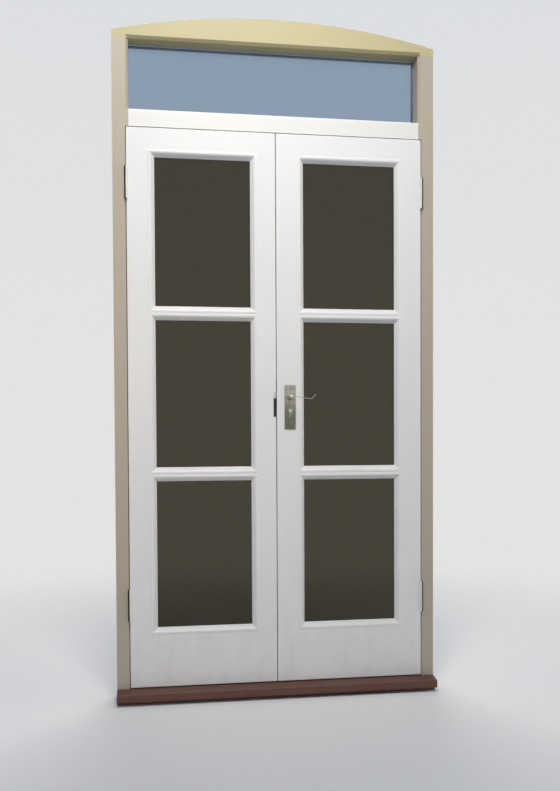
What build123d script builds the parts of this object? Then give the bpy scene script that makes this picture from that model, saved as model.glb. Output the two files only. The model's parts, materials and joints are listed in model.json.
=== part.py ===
"""A pair of outward-opening timber french doors in their own frame, with a glazed fanlight.

All sizes are in millimetres. X runs across the doors, to the right as seen from outside. Y is
depth, from 0 at the outer face of the frame towards the room. Z is up, from 0 at the underside
of the sill. The right leaf has the outer lip and opens first; the left leaf has the tongue.
"""

import os

from build123d import *

# Leaves
leaf_width = 540.0  # each leaf, over its lip or its tongue
leaf_height = 1981.0
leaf_thickness = 44.0
leaf_gap = 3.0  # leaf to jamb, and leaf to transom
sill_gap = 4.0  # leaf to sill
stile_width = 97.0  # hinge stile, out to the sight edge of the glass
meeting_width = 101.0  # meeting stile, out to the sight edge of the glass
top_rail_height = 98.0
bottom_rail_height = 210.0
bar_height = 49.0  # sight edge to sight edge
pane_names = ("bottom", "middle", "top")
bar_names = ("lower_bar", "upper_bar")

# Meeting stiles
meeting_gap = 3.0
meeting_lap = 12.5  # how far the outer gap lies from the inner gap
lip_thickness = 24.0
lap_gap = 2.0  # back of the lip to the tongue
lip_round = 3.0

# Moulding and glazing of the leaves
moulding_width = 18.0
quirk_depth = 2.0
quirk_width = 2.0
ovolo_radius = 11.0
nib_thickness = 3.0  # timber between the moulding and the glass
glazing_rebate = 12.0
glass_thickness = 4.0
glass_cavity = 12.0
glass_edge_gap = 2.0  # edge of the sealed unit to the bottom of the rebate
spacer_width = 10.0
bead_chamfer = 4.0

# Mortice and tenon joints
tenon_length = 55.0
tenon_thickness = 12.0
rail_tenon_shoulder = 12.0
bar_tenon_shoulder = 1.5
bar_tenon_wall = 3.0  # end of the bars' tenons to the mortice of the lock
mortice_clearance = 0.15

# Frame
frame_depth = 100.0
jamb_width = 45.0  # beside the leaf, without the stop
stop_height = 12.0
stop_gap = 3.0  # back of the leaf to the stop
transom_height = 61.0
transom_round = 9.0
transom_fall = 8.0
fanlight_height = 246.0  # front top arris of the transom to the underside of the head
fanlight_glass_depth = 58.0
fanlight_chamfer = 9.0
head_crown = 92.0  # height of the head at its middle
head_end = 24.0  # height of the head at its ends
frame_tenon_length = 34.0
frame_tenon_thickness = 22.0
frame_tenon_front = 11.0  # outer face of the frame to its tenons
frame_tenon_shoulder = 12.0
head_tenon_length = 14.0

# Sill
sill_height = 51.0
sill_projection = 50.0
sill_fall = 7.5
sill_nose_height = 28.0
sill_base_setback = 30.0  # front of the nose to the front of the base
sill_nose_round = 3.0
drip_width = 7.0
drip_depth = 4.0
drip_setback = 10.0

# Weather seals
seal_width = 6.0
seal_clearance = 0.3
seal_stem_width = 2.6
seal_stem_depth = 4.0
kerf_clearance = 0.2
seal_end_gap = 0.5

# Hinges
hinge_height = 112.0
hinge_from_bottom = 294.5  # bottom of the leaf to the middle of the lower hinge
hinge_from_top = 194.5
hinge_plate_width = 30.0
hinge_plate_thickness = 2.5
knuckle_count = 3
knuckle_radius = 5.75
knuckle_gap = 0.3
pin_radius = 3.0
pin_clearance = 0.05
pin_standoff = 6.5  # axis of the pin to the outer face of the frame

# Lock
lever_height = 1034.0  # bottom of the leaf to the axis of the lever
lock_backset = 48.5  # edge of the lip to the axis of the lever
lock_centres = 48.0  # lever axis down to the cylinder axis
lock_depth = 16.0  # outer face of the leaf to the middle of the lock
case_thickness = 13.0
case_wall = 1.5
case_length = 52.0
case_over_lever = 26.0
case_under_cylinder = 45.0
forend_height = 190.0
forend_thickness = 3.0
forend_inset = 4.0  # outer and inner faces of the leaf to the edge of the forend
bolt_thickness = 9.5
bolt_clearance = 0.25
latch_rise = 1.0  # lever axis up to the underside of the latch bolt
latch_height = 15.0
latch_throw = 10.0
latch_back_gap = 2.5  # back of the drawn latch bolt to the follower
latch_bevel = 7.0
dead_bolt_height = 26.0
dead_bolt_throw = 14.0
dead_bolt_recess = 0.5
dead_bolt_back_gap = 1.5  # back of the dead bolt to the sweep of the cam
follower_radius = 7.5
follower_clearance = 0.1
follower_toe = 15.0
follower_toe_width = 5.0
toe_play = 0.5
tail_thickness = 5.0
hook_thickness = 4.0
spindle_size = 8.0
spindle_clearance = 0.1
spindle_socket = 24.0  # depth of the square hole in each lever
spindle_end_gap = 0.5

# Profile cylinder
cylinder_radius = 8.5
cylinder_fin_width = 10.0
cylinder_total_height = 33.0
cylinder_outer_reach = 7.5  # past the outer face of the leaf
cylinder_inner_reach = 7.5
cylinder_clearance = 0.3
cylinder_bridge = 7.0  # height of the bridge under the cam
plug_radius = 6.5
plug_clearance = 0.08
cam_radius = 14.0
cam_width = 8.0
cam_thickness = 8.5
cam_gap = 0.25
keyway_width = 1.6
keyway_height = 8.5
keyway_depth = 9.0

# Lever handles
plate_width = 41.0
plate_height = 160.0
plate_thickness = 4.5
plate_bevel = 1.5
plate_drop = 35.0  # lever axis down to the middle of the plate
spindle_hole = 6.5
collar_radius = 11.5
collar_height = 5.0
hub_radius = 8.5
hub_turning_gap = 0.3
lever_projection = 42.0  # face of the plate to the middle of the lever's arm
arm_start = (0.0, 3.0)  # points of the arm's middle line, from the lever's axis
arm_taper_end = (38.0, -1.3)
arm_low = (78.0, -7.0)
arm_scroll = (89.0, 4.5)
arm_bend_radius = 10.0
arm_root_height = 11.5
arm_height = 7.0
arm_depth = 10.0
arm_chamfer = 2.2
scroll_radius = 5.0

# Keep in the left leaf
keep_thickness = 2.0
keep_above_lever = 20.0
keep_below_lever = 70.5
keep_face_width = 9.0
keep_face_recess = 1.5
keep_pocket_spare = 3.5  # behind the thrown dead bolt
keep_hole_clearance = 1.0
keep_tongue_gap = 0.5
keep_corner_round = 1.2

# Bolts on the inner face of the left leaf
bolt_plate_width = 30.0
bolt_plate_height = 150.0
bolt_plate_thickness = 2.0
bolt_plate_from_stop = 22.0
bolt_centre = 42.0  # middle of the pair to the axis of the bolts
bolt_rod_size = 8.0
bolt_rod_clearance = 0.1
bolt_behind_seal = 1.2  # kerf of the seal to the socket of a bolt
bolt_guide_height = 16.0
bolt_guide_width = 16.0
bolt_travel = 20.0
bolt_tip_gap = 2.0
bolt_tip_chamfer = 1.0
bolt_tail_spare = 2.0
bolt_guide_chamfer = 3.0
bolt_knob_radius = 6.0
bolt_knob_length = 14.0
bolt_keep_width = 34.0
bolt_keep_thickness = 1.5
bolt_keep_depth = 13.0
bolt_keep_clearance = 0.6
bolt_socket_depth = 26.0

# Holes for fixing the frame
fixing_radius = 4.0
fixing_margin = 75.0  # ends of the leaf to the outermost fixing
fixing_count = 4

# Where the leaves and their panes lie
leaf_bottom = sill_height + sill_gap
leaf_top = leaf_bottom + leaf_height
meeting_near = (meeting_lap - meeting_gap) / 2
meeting_far = (meeting_lap + meeting_gap) / 2
leaf_edge = leaf_width - meeting_near
hinge_sight = leaf_edge - stile_width
meeting_sight = meeting_width - meeting_near
hinge_shoulder = hinge_sight + moulding_width
meeting_shoulder = meeting_sight - moulding_width
pane_width = hinge_sight - meeting_sight
pane_middle = (hinge_sight + meeting_sight) / 2
pane_height = (
    leaf_height
    - top_rail_height
    - bottom_rail_height
    - len(bar_names) * bar_height
) / len(pane_names)
pane_bottoms = [
    leaf_bottom + bottom_rail_height + n * (pane_height + bar_height)
    for n in range(len(pane_names))
]
glass_depth = quirk_depth + ovolo_radius + nib_thickness
unit_thickness = 2 * glass_thickness + glass_cavity
tongue_front = lip_thickness + lap_gap
side_names = {-1: "left", 1: "right"}

# Where the frame lies
jamb_face = leaf_edge + leaf_gap
stop_face = jamb_face - stop_height
frame_half = jamb_face + jamb_width
stop_y = leaf_thickness + stop_gap
transom_rebate = leaf_top + leaf_gap
transom_soffit = transom_rebate - stop_height
transom_top = transom_rebate + transom_height
fanlight_bottom = transom_top + transom_fall
fanlight_platform = fanlight_bottom - glazing_rebate
head_soffit = transom_top + fanlight_height
upstand_top = sill_height + stop_height
kerf_half = seal_stem_width / 2 + kerf_clearance
kerf_depth = seal_stem_depth + kerf_clearance

# Where the hinges, the lock and the bolts lie
hinge_axis = (leaf_edge + jamb_face) / 2
hinge_levels = (leaf_bottom + hinge_from_bottom, leaf_top - hinge_from_top)
lever_x = lock_backset - meeting_near
lever_z = leaf_bottom + lever_height
cylinder_z = lever_z - lock_centres
case_front = meeting_far + forend_thickness
case_back = case_front + case_length
bar_tenon_length = meeting_shoulder - case_back - mortice_clearance - bar_tenon_wall
case_low = cylinder_z - case_under_cylinder
case_high = lever_z + case_over_lever
forend_middle = (case_low + case_high) / 2
plate_z = lever_z - plate_drop
latch_low = lever_z + latch_rise
latch_high = latch_low + latch_height
bolt_socket_y = stop_y + kerf_depth + bolt_behind_seal
bolt_y = bolt_socket_y + bolt_keep_clearance + bolt_rod_size / 2
keep_low = lever_z - keep_below_lever
keep_high = lever_z + keep_above_lever
keep_pocket_depth = dead_bolt_throw - dead_bolt_recess - meeting_gap + keep_pocket_spare
fixing_span = leaf_height - 2 * fixing_margin
fixing_levels = [
    leaf_bottom + fixing_margin + n * fixing_span / (fixing_count - 1)
    for n in range(fixing_count)
]


def block(xs, ys, zs, mode=Mode.ADD):
    """Adds or cuts a box between two values of X, of Y and of Z, in either order."""
    spans = [sorted(pair) for pair in (xs, ys, zs)]
    with Locations(tuple(sum(span) / 2 for span in spans)):
        Box(*(span[1] - span[0] for span in spans), mode=mode)


def save(name, piece):
    """Labels a finished piece and writes it."""
    piece.part.label = name
    export_step(piece.part, f"parts/{name}.step")


def prism(plane, corners, amount, mode=Mode.ADD):
    """Adds or cuts a prism on a polygon that is drawn on a plane."""
    with BuildSketch(plane) as outline:
        Polygon(*corners, align=None)
    extrude(outline.sketch, amount=amount, mode=mode)


os.makedirs("parts", exist_ok=True)


def section_plane(origin, across, along):
    """A plane at right angles to a straight run, from the run's direction."""
    return Plane(origin=origin, x_dir=across, z_dir=along)


with BuildSketch() as moulding_section:
    ovolo_start = moulding_width - quirk_width
    fillet_depth = quirk_depth + ovolo_radius
    with BuildLine():
        Line((moulding_width, quirk_depth), (ovolo_start, quirk_depth))
        CenterArc((ovolo_start, fillet_depth), ovolo_radius, -90, -90)
        Polyline(
            (ovolo_start - ovolo_radius, fillet_depth),
            (0, fillet_depth),
            (0, glass_depth),
            (glazing_rebate, glass_depth),
            (glazing_rebate, leaf_thickness),
            (moulding_width, leaf_thickness),
            (moulding_width, quirk_depth),
        )
    make_face()


def bead_section(front, back):
    """The section of a glazing bead that fills a rebate behind the glass."""
    with BuildSketch() as section:
        Polygon(
            (0, front),
            (glazing_rebate, front),
            (glazing_rebate, back),
            (bead_chamfer, back),
            (0, back - bead_chamfer),
            align=None,
        )
    return section


leaf_bead_section = bead_section(glass_depth + unit_thickness, leaf_thickness)
fanlight_bead_section = bead_section(fanlight_glass_depth + unit_thickness, frame_depth)


def edge_bar(section, reach, depth, sight_length, middle, outward):
    """A bar along one edge of a pane, mitred at both ends. Its section's x runs from the sight
    edge out into the timber, and its y is depth."""
    along = Vector(*outward).cross(Vector(0, 1, 0))
    half = sight_length / 2
    with BuildPart() as bar:
        with BuildSketch(section_plane(middle, outward, along)):
            add(section.sketch_local)
        extrude(amount=half + reach, both=True)
        with BuildSketch(section_plane(middle, outward, (0, 1, 0))):
            Polygon(
                (0, -half),
                (reach, -half - reach),
                (reach, half + reach),
                (0, half),
                align=None,
            )
        extrude(amount=depth, mode=Mode.INTERSECT)
    return bar.part


def moulded_edge(sight_length, middle, outward):
    """The moulding and the glazing nib along one edge of a leaf's pane."""
    return edge_bar(
        moulding_section, moulding_width, leaf_thickness, sight_length, middle, outward
    )


def beads_round(section, depth, xs, zs):
    """The four mitred glazing beads of one pane, from the pane's sight edges."""
    x_low, x_high = sorted(xs)
    z_low, z_high = sorted(zs)
    x_middle, z_middle = (x_low + x_high) / 2, (z_low + z_high) / 2
    edges = (
        (z_high - z_low, (x_low, 0, z_middle), (-1, 0, 0)),
        (z_high - z_low, (x_high, 0, z_middle), (1, 0, 0)),
        (x_high - x_low, (x_middle, 0, z_low), (0, 0, -1)),
        (x_high - x_low, (x_middle, 0, z_high), (0, 0, 1)),
    )
    return [edge_bar(section, glazing_rebate, depth, *edge) for edge in edges]


def sealed_unit(name, xs, zs, front):
    """The two panes of a sealed unit, from the sight edges and the depth of its face."""
    cover = glazing_rebate - glass_edge_gap
    x_low, x_high = sorted(xs)
    z_low, z_high = sorted(zs)
    wide = (x_low - cover, x_high + cover)
    tall = (z_low - cover, z_high + cover)
    inner = front + glass_thickness + glass_cavity
    with BuildPart() as panes:
        for face in (front, inner):
            block(wide, (face, face + glass_thickness), tall)
    save(name, panes)


def spacer_ring(xs, zs, front):
    """The spacer frame between the two panes of a sealed unit, in the part being made."""
    cover = glazing_rebate - glass_edge_gap
    x_low, x_high = sorted(xs)
    z_low, z_high = sorted(zs)
    thickness = (front + glass_thickness, front + glass_thickness + glass_cavity)
    inside = cover - spacer_width
    with BuildPart() as ring:
        block((x_low - cover, x_high + cover), thickness, (z_low - cover, z_high + cover))
        block(
            (x_low - inside, x_high + inside),
            thickness,
            (z_low - inside, z_high + inside),
            mode=Mode.SUBTRACT,
        )
    return ring.part


def bar_round(start, direction, radius, length, mode=Mode.SUBTRACT):
    """Cuts or adds a round bar from a point along a direction."""
    with BuildSketch(Plane(origin=start, z_dir=direction)) as circle:
        Circle(radius)
    extrude(circle.sketch, amount=length, mode=mode)


def pane_sights(side, level):
    """The sight edges of one pane of a leaf, in X and in Z."""
    return (side * meeting_sight, side * hinge_sight), (level, level + pane_height)


def rail_levels():
    """Each rail and bar of a leaf: its name, the Z of its two edges, and which are moulded."""
    levels = [("bottom_rail", leaf_bottom, pane_bottoms[0], False, True)]
    for name, below, above in zip(bar_names, pane_bottoms, pane_bottoms[1:]):
        levels.append((name, below + pane_height, above, True, True))
    levels.append(("top_rail", pane_bottoms[-1] + pane_height, leaf_top, True, False))
    return levels


def flat_span(low, high, low_moulded, high_moulded):
    """The Z of a rail's flat part, between its mouldings."""
    return low + moulding_width * low_moulded, high - moulding_width * high_moulded


def tenon_span(low, high, low_moulded, high_moulded):
    """The Z of a rail's tenons."""
    flat_low, flat_high = flat_span(low, high, low_moulded, high_moulded)
    shoulder = bar_tenon_shoulder if low_moulded and high_moulded else rail_tenon_shoulder
    return flat_low + shoulder, flat_high - shoulder


def tenon_reach(low_moulded, high_moulded):
    """The length of a rail's tenons. Those of a bar stop short of the lock's mortice."""
    return bar_tenon_length if low_moulded and high_moulded else tenon_length


def tenon_depths(clearance=0.0):
    """The Y of the leaves' tenons, or of their mortices."""
    middle, half = leaf_thickness / 2, tenon_thickness / 2 + clearance
    return middle - half, middle + half


def make_rail(side, name, low, high, low_moulded, high_moulded):
    """A rail or bar with its mitred mouldings, its glazing rebates and two tenons."""
    middle = side * pane_middle
    ends = (meeting_shoulder, hinge_shoulder)
    reach = tenon_reach(low_moulded, high_moulded)
    mouldings = []
    if low_moulded:
        mouldings.append(moulded_edge(pane_width, (middle, 0, low), (0, 0, 1)))
    if high_moulded:
        mouldings.append(moulded_edge(pane_width, (middle, 0, high), (0, 0, -1)))
    with BuildPart() as rail:
        block(
            (side * ends[0], side * ends[1]),
            (0, leaf_thickness),
            flat_span(low, high, low_moulded, high_moulded),
        )
        block(
            (side * (ends[0] - reach), side * (ends[1] + reach)),
            tenon_depths(),
            tenon_span(low, high, low_moulded, high_moulded),
        )
        add(mouldings)
    save(f"{side_names[side]}_{name}", rail)


def cut_mortices(side, shoulder, inwards):
    """Cuts the mortices for all the rails into the stile being made."""
    for _, *edges in rail_levels():
        low, high = tenon_span(*edges)
        end = shoulder + inwards * (tenon_reach(*edges[2:]) + mortice_clearance)
        block(
            (side * shoulder, side * end),
            tenon_depths(mortice_clearance),
            (low - mortice_clearance, high + mortice_clearance),
            mode=Mode.SUBTRACT,
        )


def stile_mouldings(side, sight, outward):
    """The mouldings of the three panes along one stile."""
    return [
        moulded_edge(pane_height, (side * sight, 0, level + pane_height / 2), (outward, 0, 0))
        for level in pane_bottoms
    ]


def hinge_span(level):
    """The Z of the two ends of a hinge."""
    return level - hinge_height / 2, level + hinge_height / 2


def make_hinge_stile(side):
    """The stile that carries the hinges, with its mortices and hinge recesses."""
    mouldings = stile_mouldings(side, hinge_sight, side)
    with BuildPart() as stile:
        block(
            (side * hinge_shoulder, side * leaf_edge),
            (0, leaf_thickness),
            (leaf_bottom, leaf_top),
        )
        add(mouldings)
        cut_mortices(side, hinge_shoulder, 1)
        for level in hinge_levels:
            block(
                (side * leaf_edge, side * (leaf_edge - hinge_plate_thickness)),
                (0, hinge_plate_width),
                hinge_span(level),
                mode=Mode.SUBTRACT,
            )
    save(f"{side_names[side]}_hinge_stile", stile)


def bolt_depths(clearance=0.0):
    """The Y of the latch bolt and the dead bolt, or of what they slide in."""
    half = bolt_thickness / 2 + clearance
    return lock_depth - half, lock_depth + half


def bolt_levels(clearance=0.0):
    """The Z of the latch bolt and of the dead bolt, or of what they slide in."""
    half = dead_bolt_height / 2 + clearance
    return (
        (latch_low - clearance, latch_high + clearance),
        (cylinder_z - half, cylinder_z + half),
    )


forend_outline = (
    (-meeting_near, forend_inset),
    (forend_thickness - meeting_near, forend_inset),
    (forend_thickness - meeting_near, lip_thickness - forend_thickness),
    (case_front, lip_thickness - forend_thickness),
    (case_front, leaf_thickness - forend_inset),
    (meeting_far, leaf_thickness - forend_inset),
    (meeting_far, lip_thickness),
    (-meeting_near, lip_thickness),
)
forend_low = forend_middle - forend_height / 2
forend_base = Plane.XY.offset(forend_low)
cylinder_foot = cylinder_z + cylinder_radius - cylinder_total_height


def outward_plane(x, y, z):
    """A plane across Y, seen from outside: its x is X, its y is Z, and it looks out."""
    return Plane(origin=(x, y, z), x_dir=(1, 0, 0), z_dir=(0, -1, 0))


def cylinder_profile(front, back, clearance=0.0, mode=Mode.ADD):
    """Adds or cuts the profile cylinder's shape, a round with a fin below, between two depths."""
    fin = cylinder_fin_width / 2
    drop = cylinder_total_height - cylinder_radius - fin
    with BuildSketch(outward_plane(lever_x, back, cylinder_z)) as section:
        Circle(cylinder_radius + clearance)
        with Locations((0, -drop / 2)):
            Rectangle(2 * (fin + clearance), drop)
        with Locations((0, -drop)):
            Circle(fin + clearance)
    extrude(section.sketch, amount=back - front, mode=mode)


def cut_cylinder_slot(front, back):
    """Cuts a plain hole and slot for the profile cylinder between two depths."""
    fin = cylinder_fin_width / 2 + cylinder_clearance
    start = (lever_x, front, cylinder_z)
    bar_round(start, (0, 1, 0), cylinder_radius + cylinder_clearance, back - front)
    block(
        (lever_x - fin, lever_x + fin),
        (front, back),
        (cylinder_foot - cylinder_clearance, cylinder_z),
        mode=Mode.SUBTRACT,
    )


def cut_lock_pockets():
    """Cuts everything that the lock needs into the right meeting stile."""
    prism(forend_base, forend_outline, forend_height, mode=Mode.SUBTRACT)
    for levels in bolt_levels(bolt_clearance):
        block(
            (-meeting_near, case_front),
            bolt_depths(bolt_clearance),
            levels,
            mode=Mode.SUBTRACT,
        )
    half = case_thickness / 2 + mortice_clearance
    block(
        (case_front, case_back + mortice_clearance),
        (lock_depth - half, lock_depth + half),
        (case_low - mortice_clearance, case_high + mortice_clearance),
        mode=Mode.SUBTRACT,
    )
    bar_round((lever_x, 0, lever_z), (0, 1, 0), hub_radius, leaf_thickness)
    cut_cylinder_slot(0, leaf_thickness)


def cut_keep_pockets():
    """Cuts the let-in places of the lock keep into the left meeting stile."""
    levels = (keep_low, keep_high)
    edge, back = -meeting_far, -meeting_far - keep_thickness
    block((edge, back), (0, tongue_front), levels, mode=Mode.SUBTRACT)
    block(
        (edge, edge - keep_face_width),
        (0, keep_face_recess + keep_thickness),
        levels,
        mode=Mode.SUBTRACT,
    )
    for span in bolt_levels(keep_hole_clearance):
        block(
            (edge, edge - keep_pocket_depth),
            bolt_depths(keep_hole_clearance),
            span,
            mode=Mode.SUBTRACT,
        )


def make_meeting_stile(side):
    """The stile at the middle of the pair: the left has a tongue, the right a rounded lip."""
    mouldings = stile_mouldings(side, meeting_sight, -side)
    levels = (leaf_bottom, leaf_top)
    with BuildPart() as stile:
        block((side * meeting_shoulder, side * meeting_far), (0, leaf_thickness), levels)
        if side < 0:
            block((-meeting_far, meeting_near), (tongue_front, leaf_thickness), levels)
        else:
            block((meeting_far, -meeting_near), (0, lip_thickness), levels)
            lip_edges = stile.edges().filter_by(Axis.Z).group_by(Axis.X)[0]
            fillet(lip_edges.sort_by(Axis.Y)[0], lip_round)
        add(mouldings)
        cut_mortices(side, meeting_shoulder, -1)
        if side < 0:
            cut_keep_pockets()
        else:
            cut_lock_pockets()
            for low, high in lip_seal_spans():
                block(
                    (-kerf_half, kerf_half),
                    (lip_thickness - kerf_depth, lip_thickness),
                    (low, high),
                    mode=Mode.SUBTRACT,
                )
    save(f"{side_names[side]}_meeting_stile", stile)


# Weather seals: a bulb on the face of a stop and a stem in a kerf
jamb_seal_x = (jamb_face + stop_face) / 2
top_seal_z = (transom_rebate + transom_soffit) / 2
sill_seal_z = (sill_height + upstand_top) / 2
jamb_seal_span = (upstand_top + seal_end_gap, transom_rebate - seal_end_gap)
cross_seal_half = stop_face - seal_end_gap


def lip_seal_spans():
    """The Z of the two lengths of seal behind the lip, above and below the lock's forend."""
    forend_high = forend_low + forend_height
    return (
        (leaf_bottom + leaf_gap, forend_low - seal_end_gap),
        (forend_high + seal_end_gap, leaf_top - leaf_gap),
    )


def seal_strip(start, across, along, length, bulb_height):
    """One length of seal in the part being made. Along x across is the way the bulb stands."""
    half, stem, nose = seal_width / 2, seal_stem_width / 2, seal_width / 3
    corners = (
        (-half, 0),
        (-stem, 0),
        (-stem, -seal_stem_depth),
        (stem, -seal_stem_depth),
        (stem, 0),
        (half, 0),
        (half, bulb_height / 2),
        (nose, bulb_height),
        (-nose, bulb_height),
        (-half, bulb_height / 2),
    )
    prism(Plane(origin=start, x_dir=across, z_dir=along), corners, length)


def make_seals():
    """The seals in the frame's four stops, and the seal behind the lip."""
    bulb = stop_gap - seal_clearance
    low, high = jamb_seal_span
    with BuildPart() as seals:
        for side in side_names:
            start = (side * jamb_seal_x, stop_y, low)
            seal_strip(start, (-1, 0, 0), (0, 0, 1), high - low, bulb)
        for z in (top_seal_z, sill_seal_z):
            start = (-cross_seal_half, stop_y, z)
            seal_strip(start, (0, 0, 1), (1, 0, 0), 2 * cross_seal_half, bulb)
    save("frame_seals", seals)
    with BuildPart() as lip_seal:
        for low, high in lip_seal_spans():
            start = (0, lip_thickness, low)
            seal_strip(start, (1, 0, 0), (0, 0, 1), high - low, lap_gap - seal_clearance)
    save("meeting_seal", lip_seal)


# Tenons that join the members of the frame
frame_tenon_y = (frame_tenon_front, frame_tenon_front + frame_tenon_thickness)
jamb_tenon_x = (
    jamb_face + (jamb_width - frame_tenon_thickness) / 2,
    jamb_face + (jamb_width + frame_tenon_thickness) / 2,
)
transom_tenon_z = (transom_rebate + frame_tenon_shoulder, transom_top - frame_tenon_shoulder)


def widened(span, clearance=mortice_clearance):
    """A span with a clearance at both ends."""
    return span[0] - clearance, span[1] + clearance


def fixing_planes(side):
    """Planes on the jamb's leaf face where the frame is screwed to a wall."""
    return [
        Plane(origin=(side * jamb_face, leaf_thickness / 2, z), z_dir=(-side, 0, 0))
        for z in fixing_levels
    ]


def make_jamb(side):
    """A jamb: rebated for the leaf from outside and for the fanlight from inside."""
    rebate = (side * jamb_face, side * stop_face)
    with BuildPart() as jamb:
        block((side * frame_half, side * stop_face), (0, frame_depth), (sill_height, head_soffit))
        block(rebate, (0, stop_y), (sill_height, transom_rebate), mode=Mode.SUBTRACT)
        block(
            rebate,
            (fanlight_glass_depth, frame_depth),
            (fanlight_platform, head_soffit),
            mode=Mode.SUBTRACT,
        )
        prism(
            Plane.XY.offset(transom_top),
            (
                (side * stop_face, 0),
                (side * (stop_face + fanlight_chamfer), 0),
                (side * stop_face, fanlight_chamfer),
            ),
            fanlight_height,
            mode=Mode.SUBTRACT,
        )
        block(
            (side * frame_half, side * stop_face),
            (stop_y, frame_depth),
            (sill_height, upstand_top),
            mode=Mode.SUBTRACT,
        )
        tenon_x = [side * x for x in jamb_tenon_x]
        block(tenon_x, frame_tenon_y, (sill_height - frame_tenon_length, sill_height))
        block(tenon_x, frame_tenon_y, (head_soffit, head_soffit + head_tenon_length))
        block(
            (side * stop_face, side * (stop_face + frame_tenon_length + mortice_clearance)),
            widened(frame_tenon_y),
            widened(transom_tenon_z),
            mode=Mode.SUBTRACT,
        )
        block(
            (side * (jamb_seal_x - kerf_half), side * (jamb_seal_x + kerf_half)),
            (stop_y, stop_y + kerf_depth),
            jamb_seal_span,
            mode=Mode.SUBTRACT,
        )
        for level in hinge_levels:
            block(
                (side * jamb_face, side * (jamb_face + hinge_plate_thickness)),
                (0, hinge_plate_width),
                hinge_span(level),
                mode=Mode.SUBTRACT,
            )
        with Locations(*fixing_planes(side)):
            Hole(fixing_radius, jamb_width)
    save(f"jamb_{side_names[side]}", jamb)


def make_head():
    """The head: an arched top, a chamfered lower arris and a rebate for the fanlight."""
    end_z, crown_z = head_soffit + head_end, head_soffit + head_crown
    chamfered = stop_face + fanlight_chamfer
    with BuildPart() as chamfer_cutter:
        prism(
            Plane.YZ.offset(-chamfered),
            (
                (0, head_soffit),
                (fanlight_chamfer, head_soffit),
                (0, head_soffit + fanlight_chamfer),
            ),
            2 * chamfered,
        )
        prism(
            Plane.XZ,
            (
                (-stop_face, head_soffit),
                (stop_face, head_soffit),
                (chamfered, head_soffit + fanlight_chamfer),
                (-chamfered, head_soffit + fanlight_chamfer),
            ),
            -fanlight_chamfer,
            mode=Mode.INTERSECT,
        )
    with BuildPart() as head:
        with BuildSketch(Plane.XZ):
            with BuildLine():
                Polyline(
                    (-frame_half, end_z),
                    (-frame_half, head_soffit),
                    (frame_half, head_soffit),
                    (frame_half, end_z),
                )
                ThreePointArc((frame_half, end_z), (0, crown_z), (-frame_half, end_z))
            make_face()
        extrude(amount=-frame_depth)
        add(chamfer_cutter.part, mode=Mode.SUBTRACT)
        block(
            (-jamb_face, jamb_face),
            (fanlight_glass_depth, frame_depth),
            (head_soffit, head_soffit + glazing_rebate),
            mode=Mode.SUBTRACT,
        )
        for side in side_names:
            block(
                [side * x for x in widened(jamb_tenon_x)],
                widened(frame_tenon_y),
                (head_soffit, head_soffit + head_tenon_length + mortice_clearance),
                mode=Mode.SUBTRACT,
            )
    save("head", head)


# The two bolts of the left leaf: the Z of the frame's face, and which way the bolt goes
bolt_places = {"top": (transom_soffit, 1), "bottom": (upstand_top, -1)}


def bolt_bar(clearance, levels, mode=Mode.ADD):
    """Adds or cuts a length of the square bar of the left leaf's bolts."""
    half = bolt_rod_size / 2 + clearance
    block(
        (-bolt_centre - half, -bolt_centre + half),
        (bolt_y - half, bolt_y + half),
        levels,
        mode=mode,
    )


def bolt_keep_block(face, way, mode=Mode.ADD):
    """The outline of a bolt's keep, let into the frame from its face."""
    block(
        (-bolt_centre - bolt_keep_width / 2, -bolt_centre + bolt_keep_width / 2),
        (bolt_y - bolt_keep_depth / 2, bolt_y + bolt_keep_depth / 2),
        (face, face + way * bolt_keep_thickness),
        mode=mode,
    )


def cut_bolt_socket(face, way):
    """Cuts the let-in place of a bolt's keep and the socket behind it."""
    bolt_keep_block(face, way, Mode.SUBTRACT)
    bolt_bar(bolt_keep_clearance, (face, face + way * bolt_socket_depth), Mode.SUBTRACT)


def make_bolt_keep(name, face, way):
    """The small plate that a bolt shoots through."""
    with BuildPart() as keep:
        bolt_keep_block(face, way)
        levels = (face, face + way * bolt_keep_thickness)
        bolt_bar(bolt_keep_clearance, levels, Mode.SUBTRACT)
    save(f"{name}_bolt_keep", keep)


def make_transom():
    """The rail over the leaves: rebated for them, round at its front arris, weathered on top."""
    with BuildPart() as transom:
        with BuildSketch(Plane.YZ.offset(-stop_face)) as section:
            Polygon(
                (0, transom_rebate),
                (stop_y, transom_rebate),
                (stop_y, transom_soffit),
                (frame_depth, transom_soffit),
                (frame_depth, fanlight_platform),
                (fanlight_glass_depth, fanlight_platform),
                (fanlight_glass_depth, fanlight_bottom),
                (0, transom_top),
                align=None,
            )
            front = section.vertices().group_by(Axis.X)[0]
            fillet(front.sort_by(Axis.Y)[-1], transom_round)
        extrude(amount=2 * stop_face)
        block(
            (-stop_face - frame_tenon_length, stop_face + frame_tenon_length),
            frame_tenon_y,
            transom_tenon_z,
        )
        block(
            (-cross_seal_half, cross_seal_half),
            (stop_y, stop_y + kerf_depth),
            (top_seal_z - kerf_half, top_seal_z + kerf_half),
            mode=Mode.SUBTRACT,
        )
        cut_bolt_socket(*bolt_places["top"])
    save("transom", transom)


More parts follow.
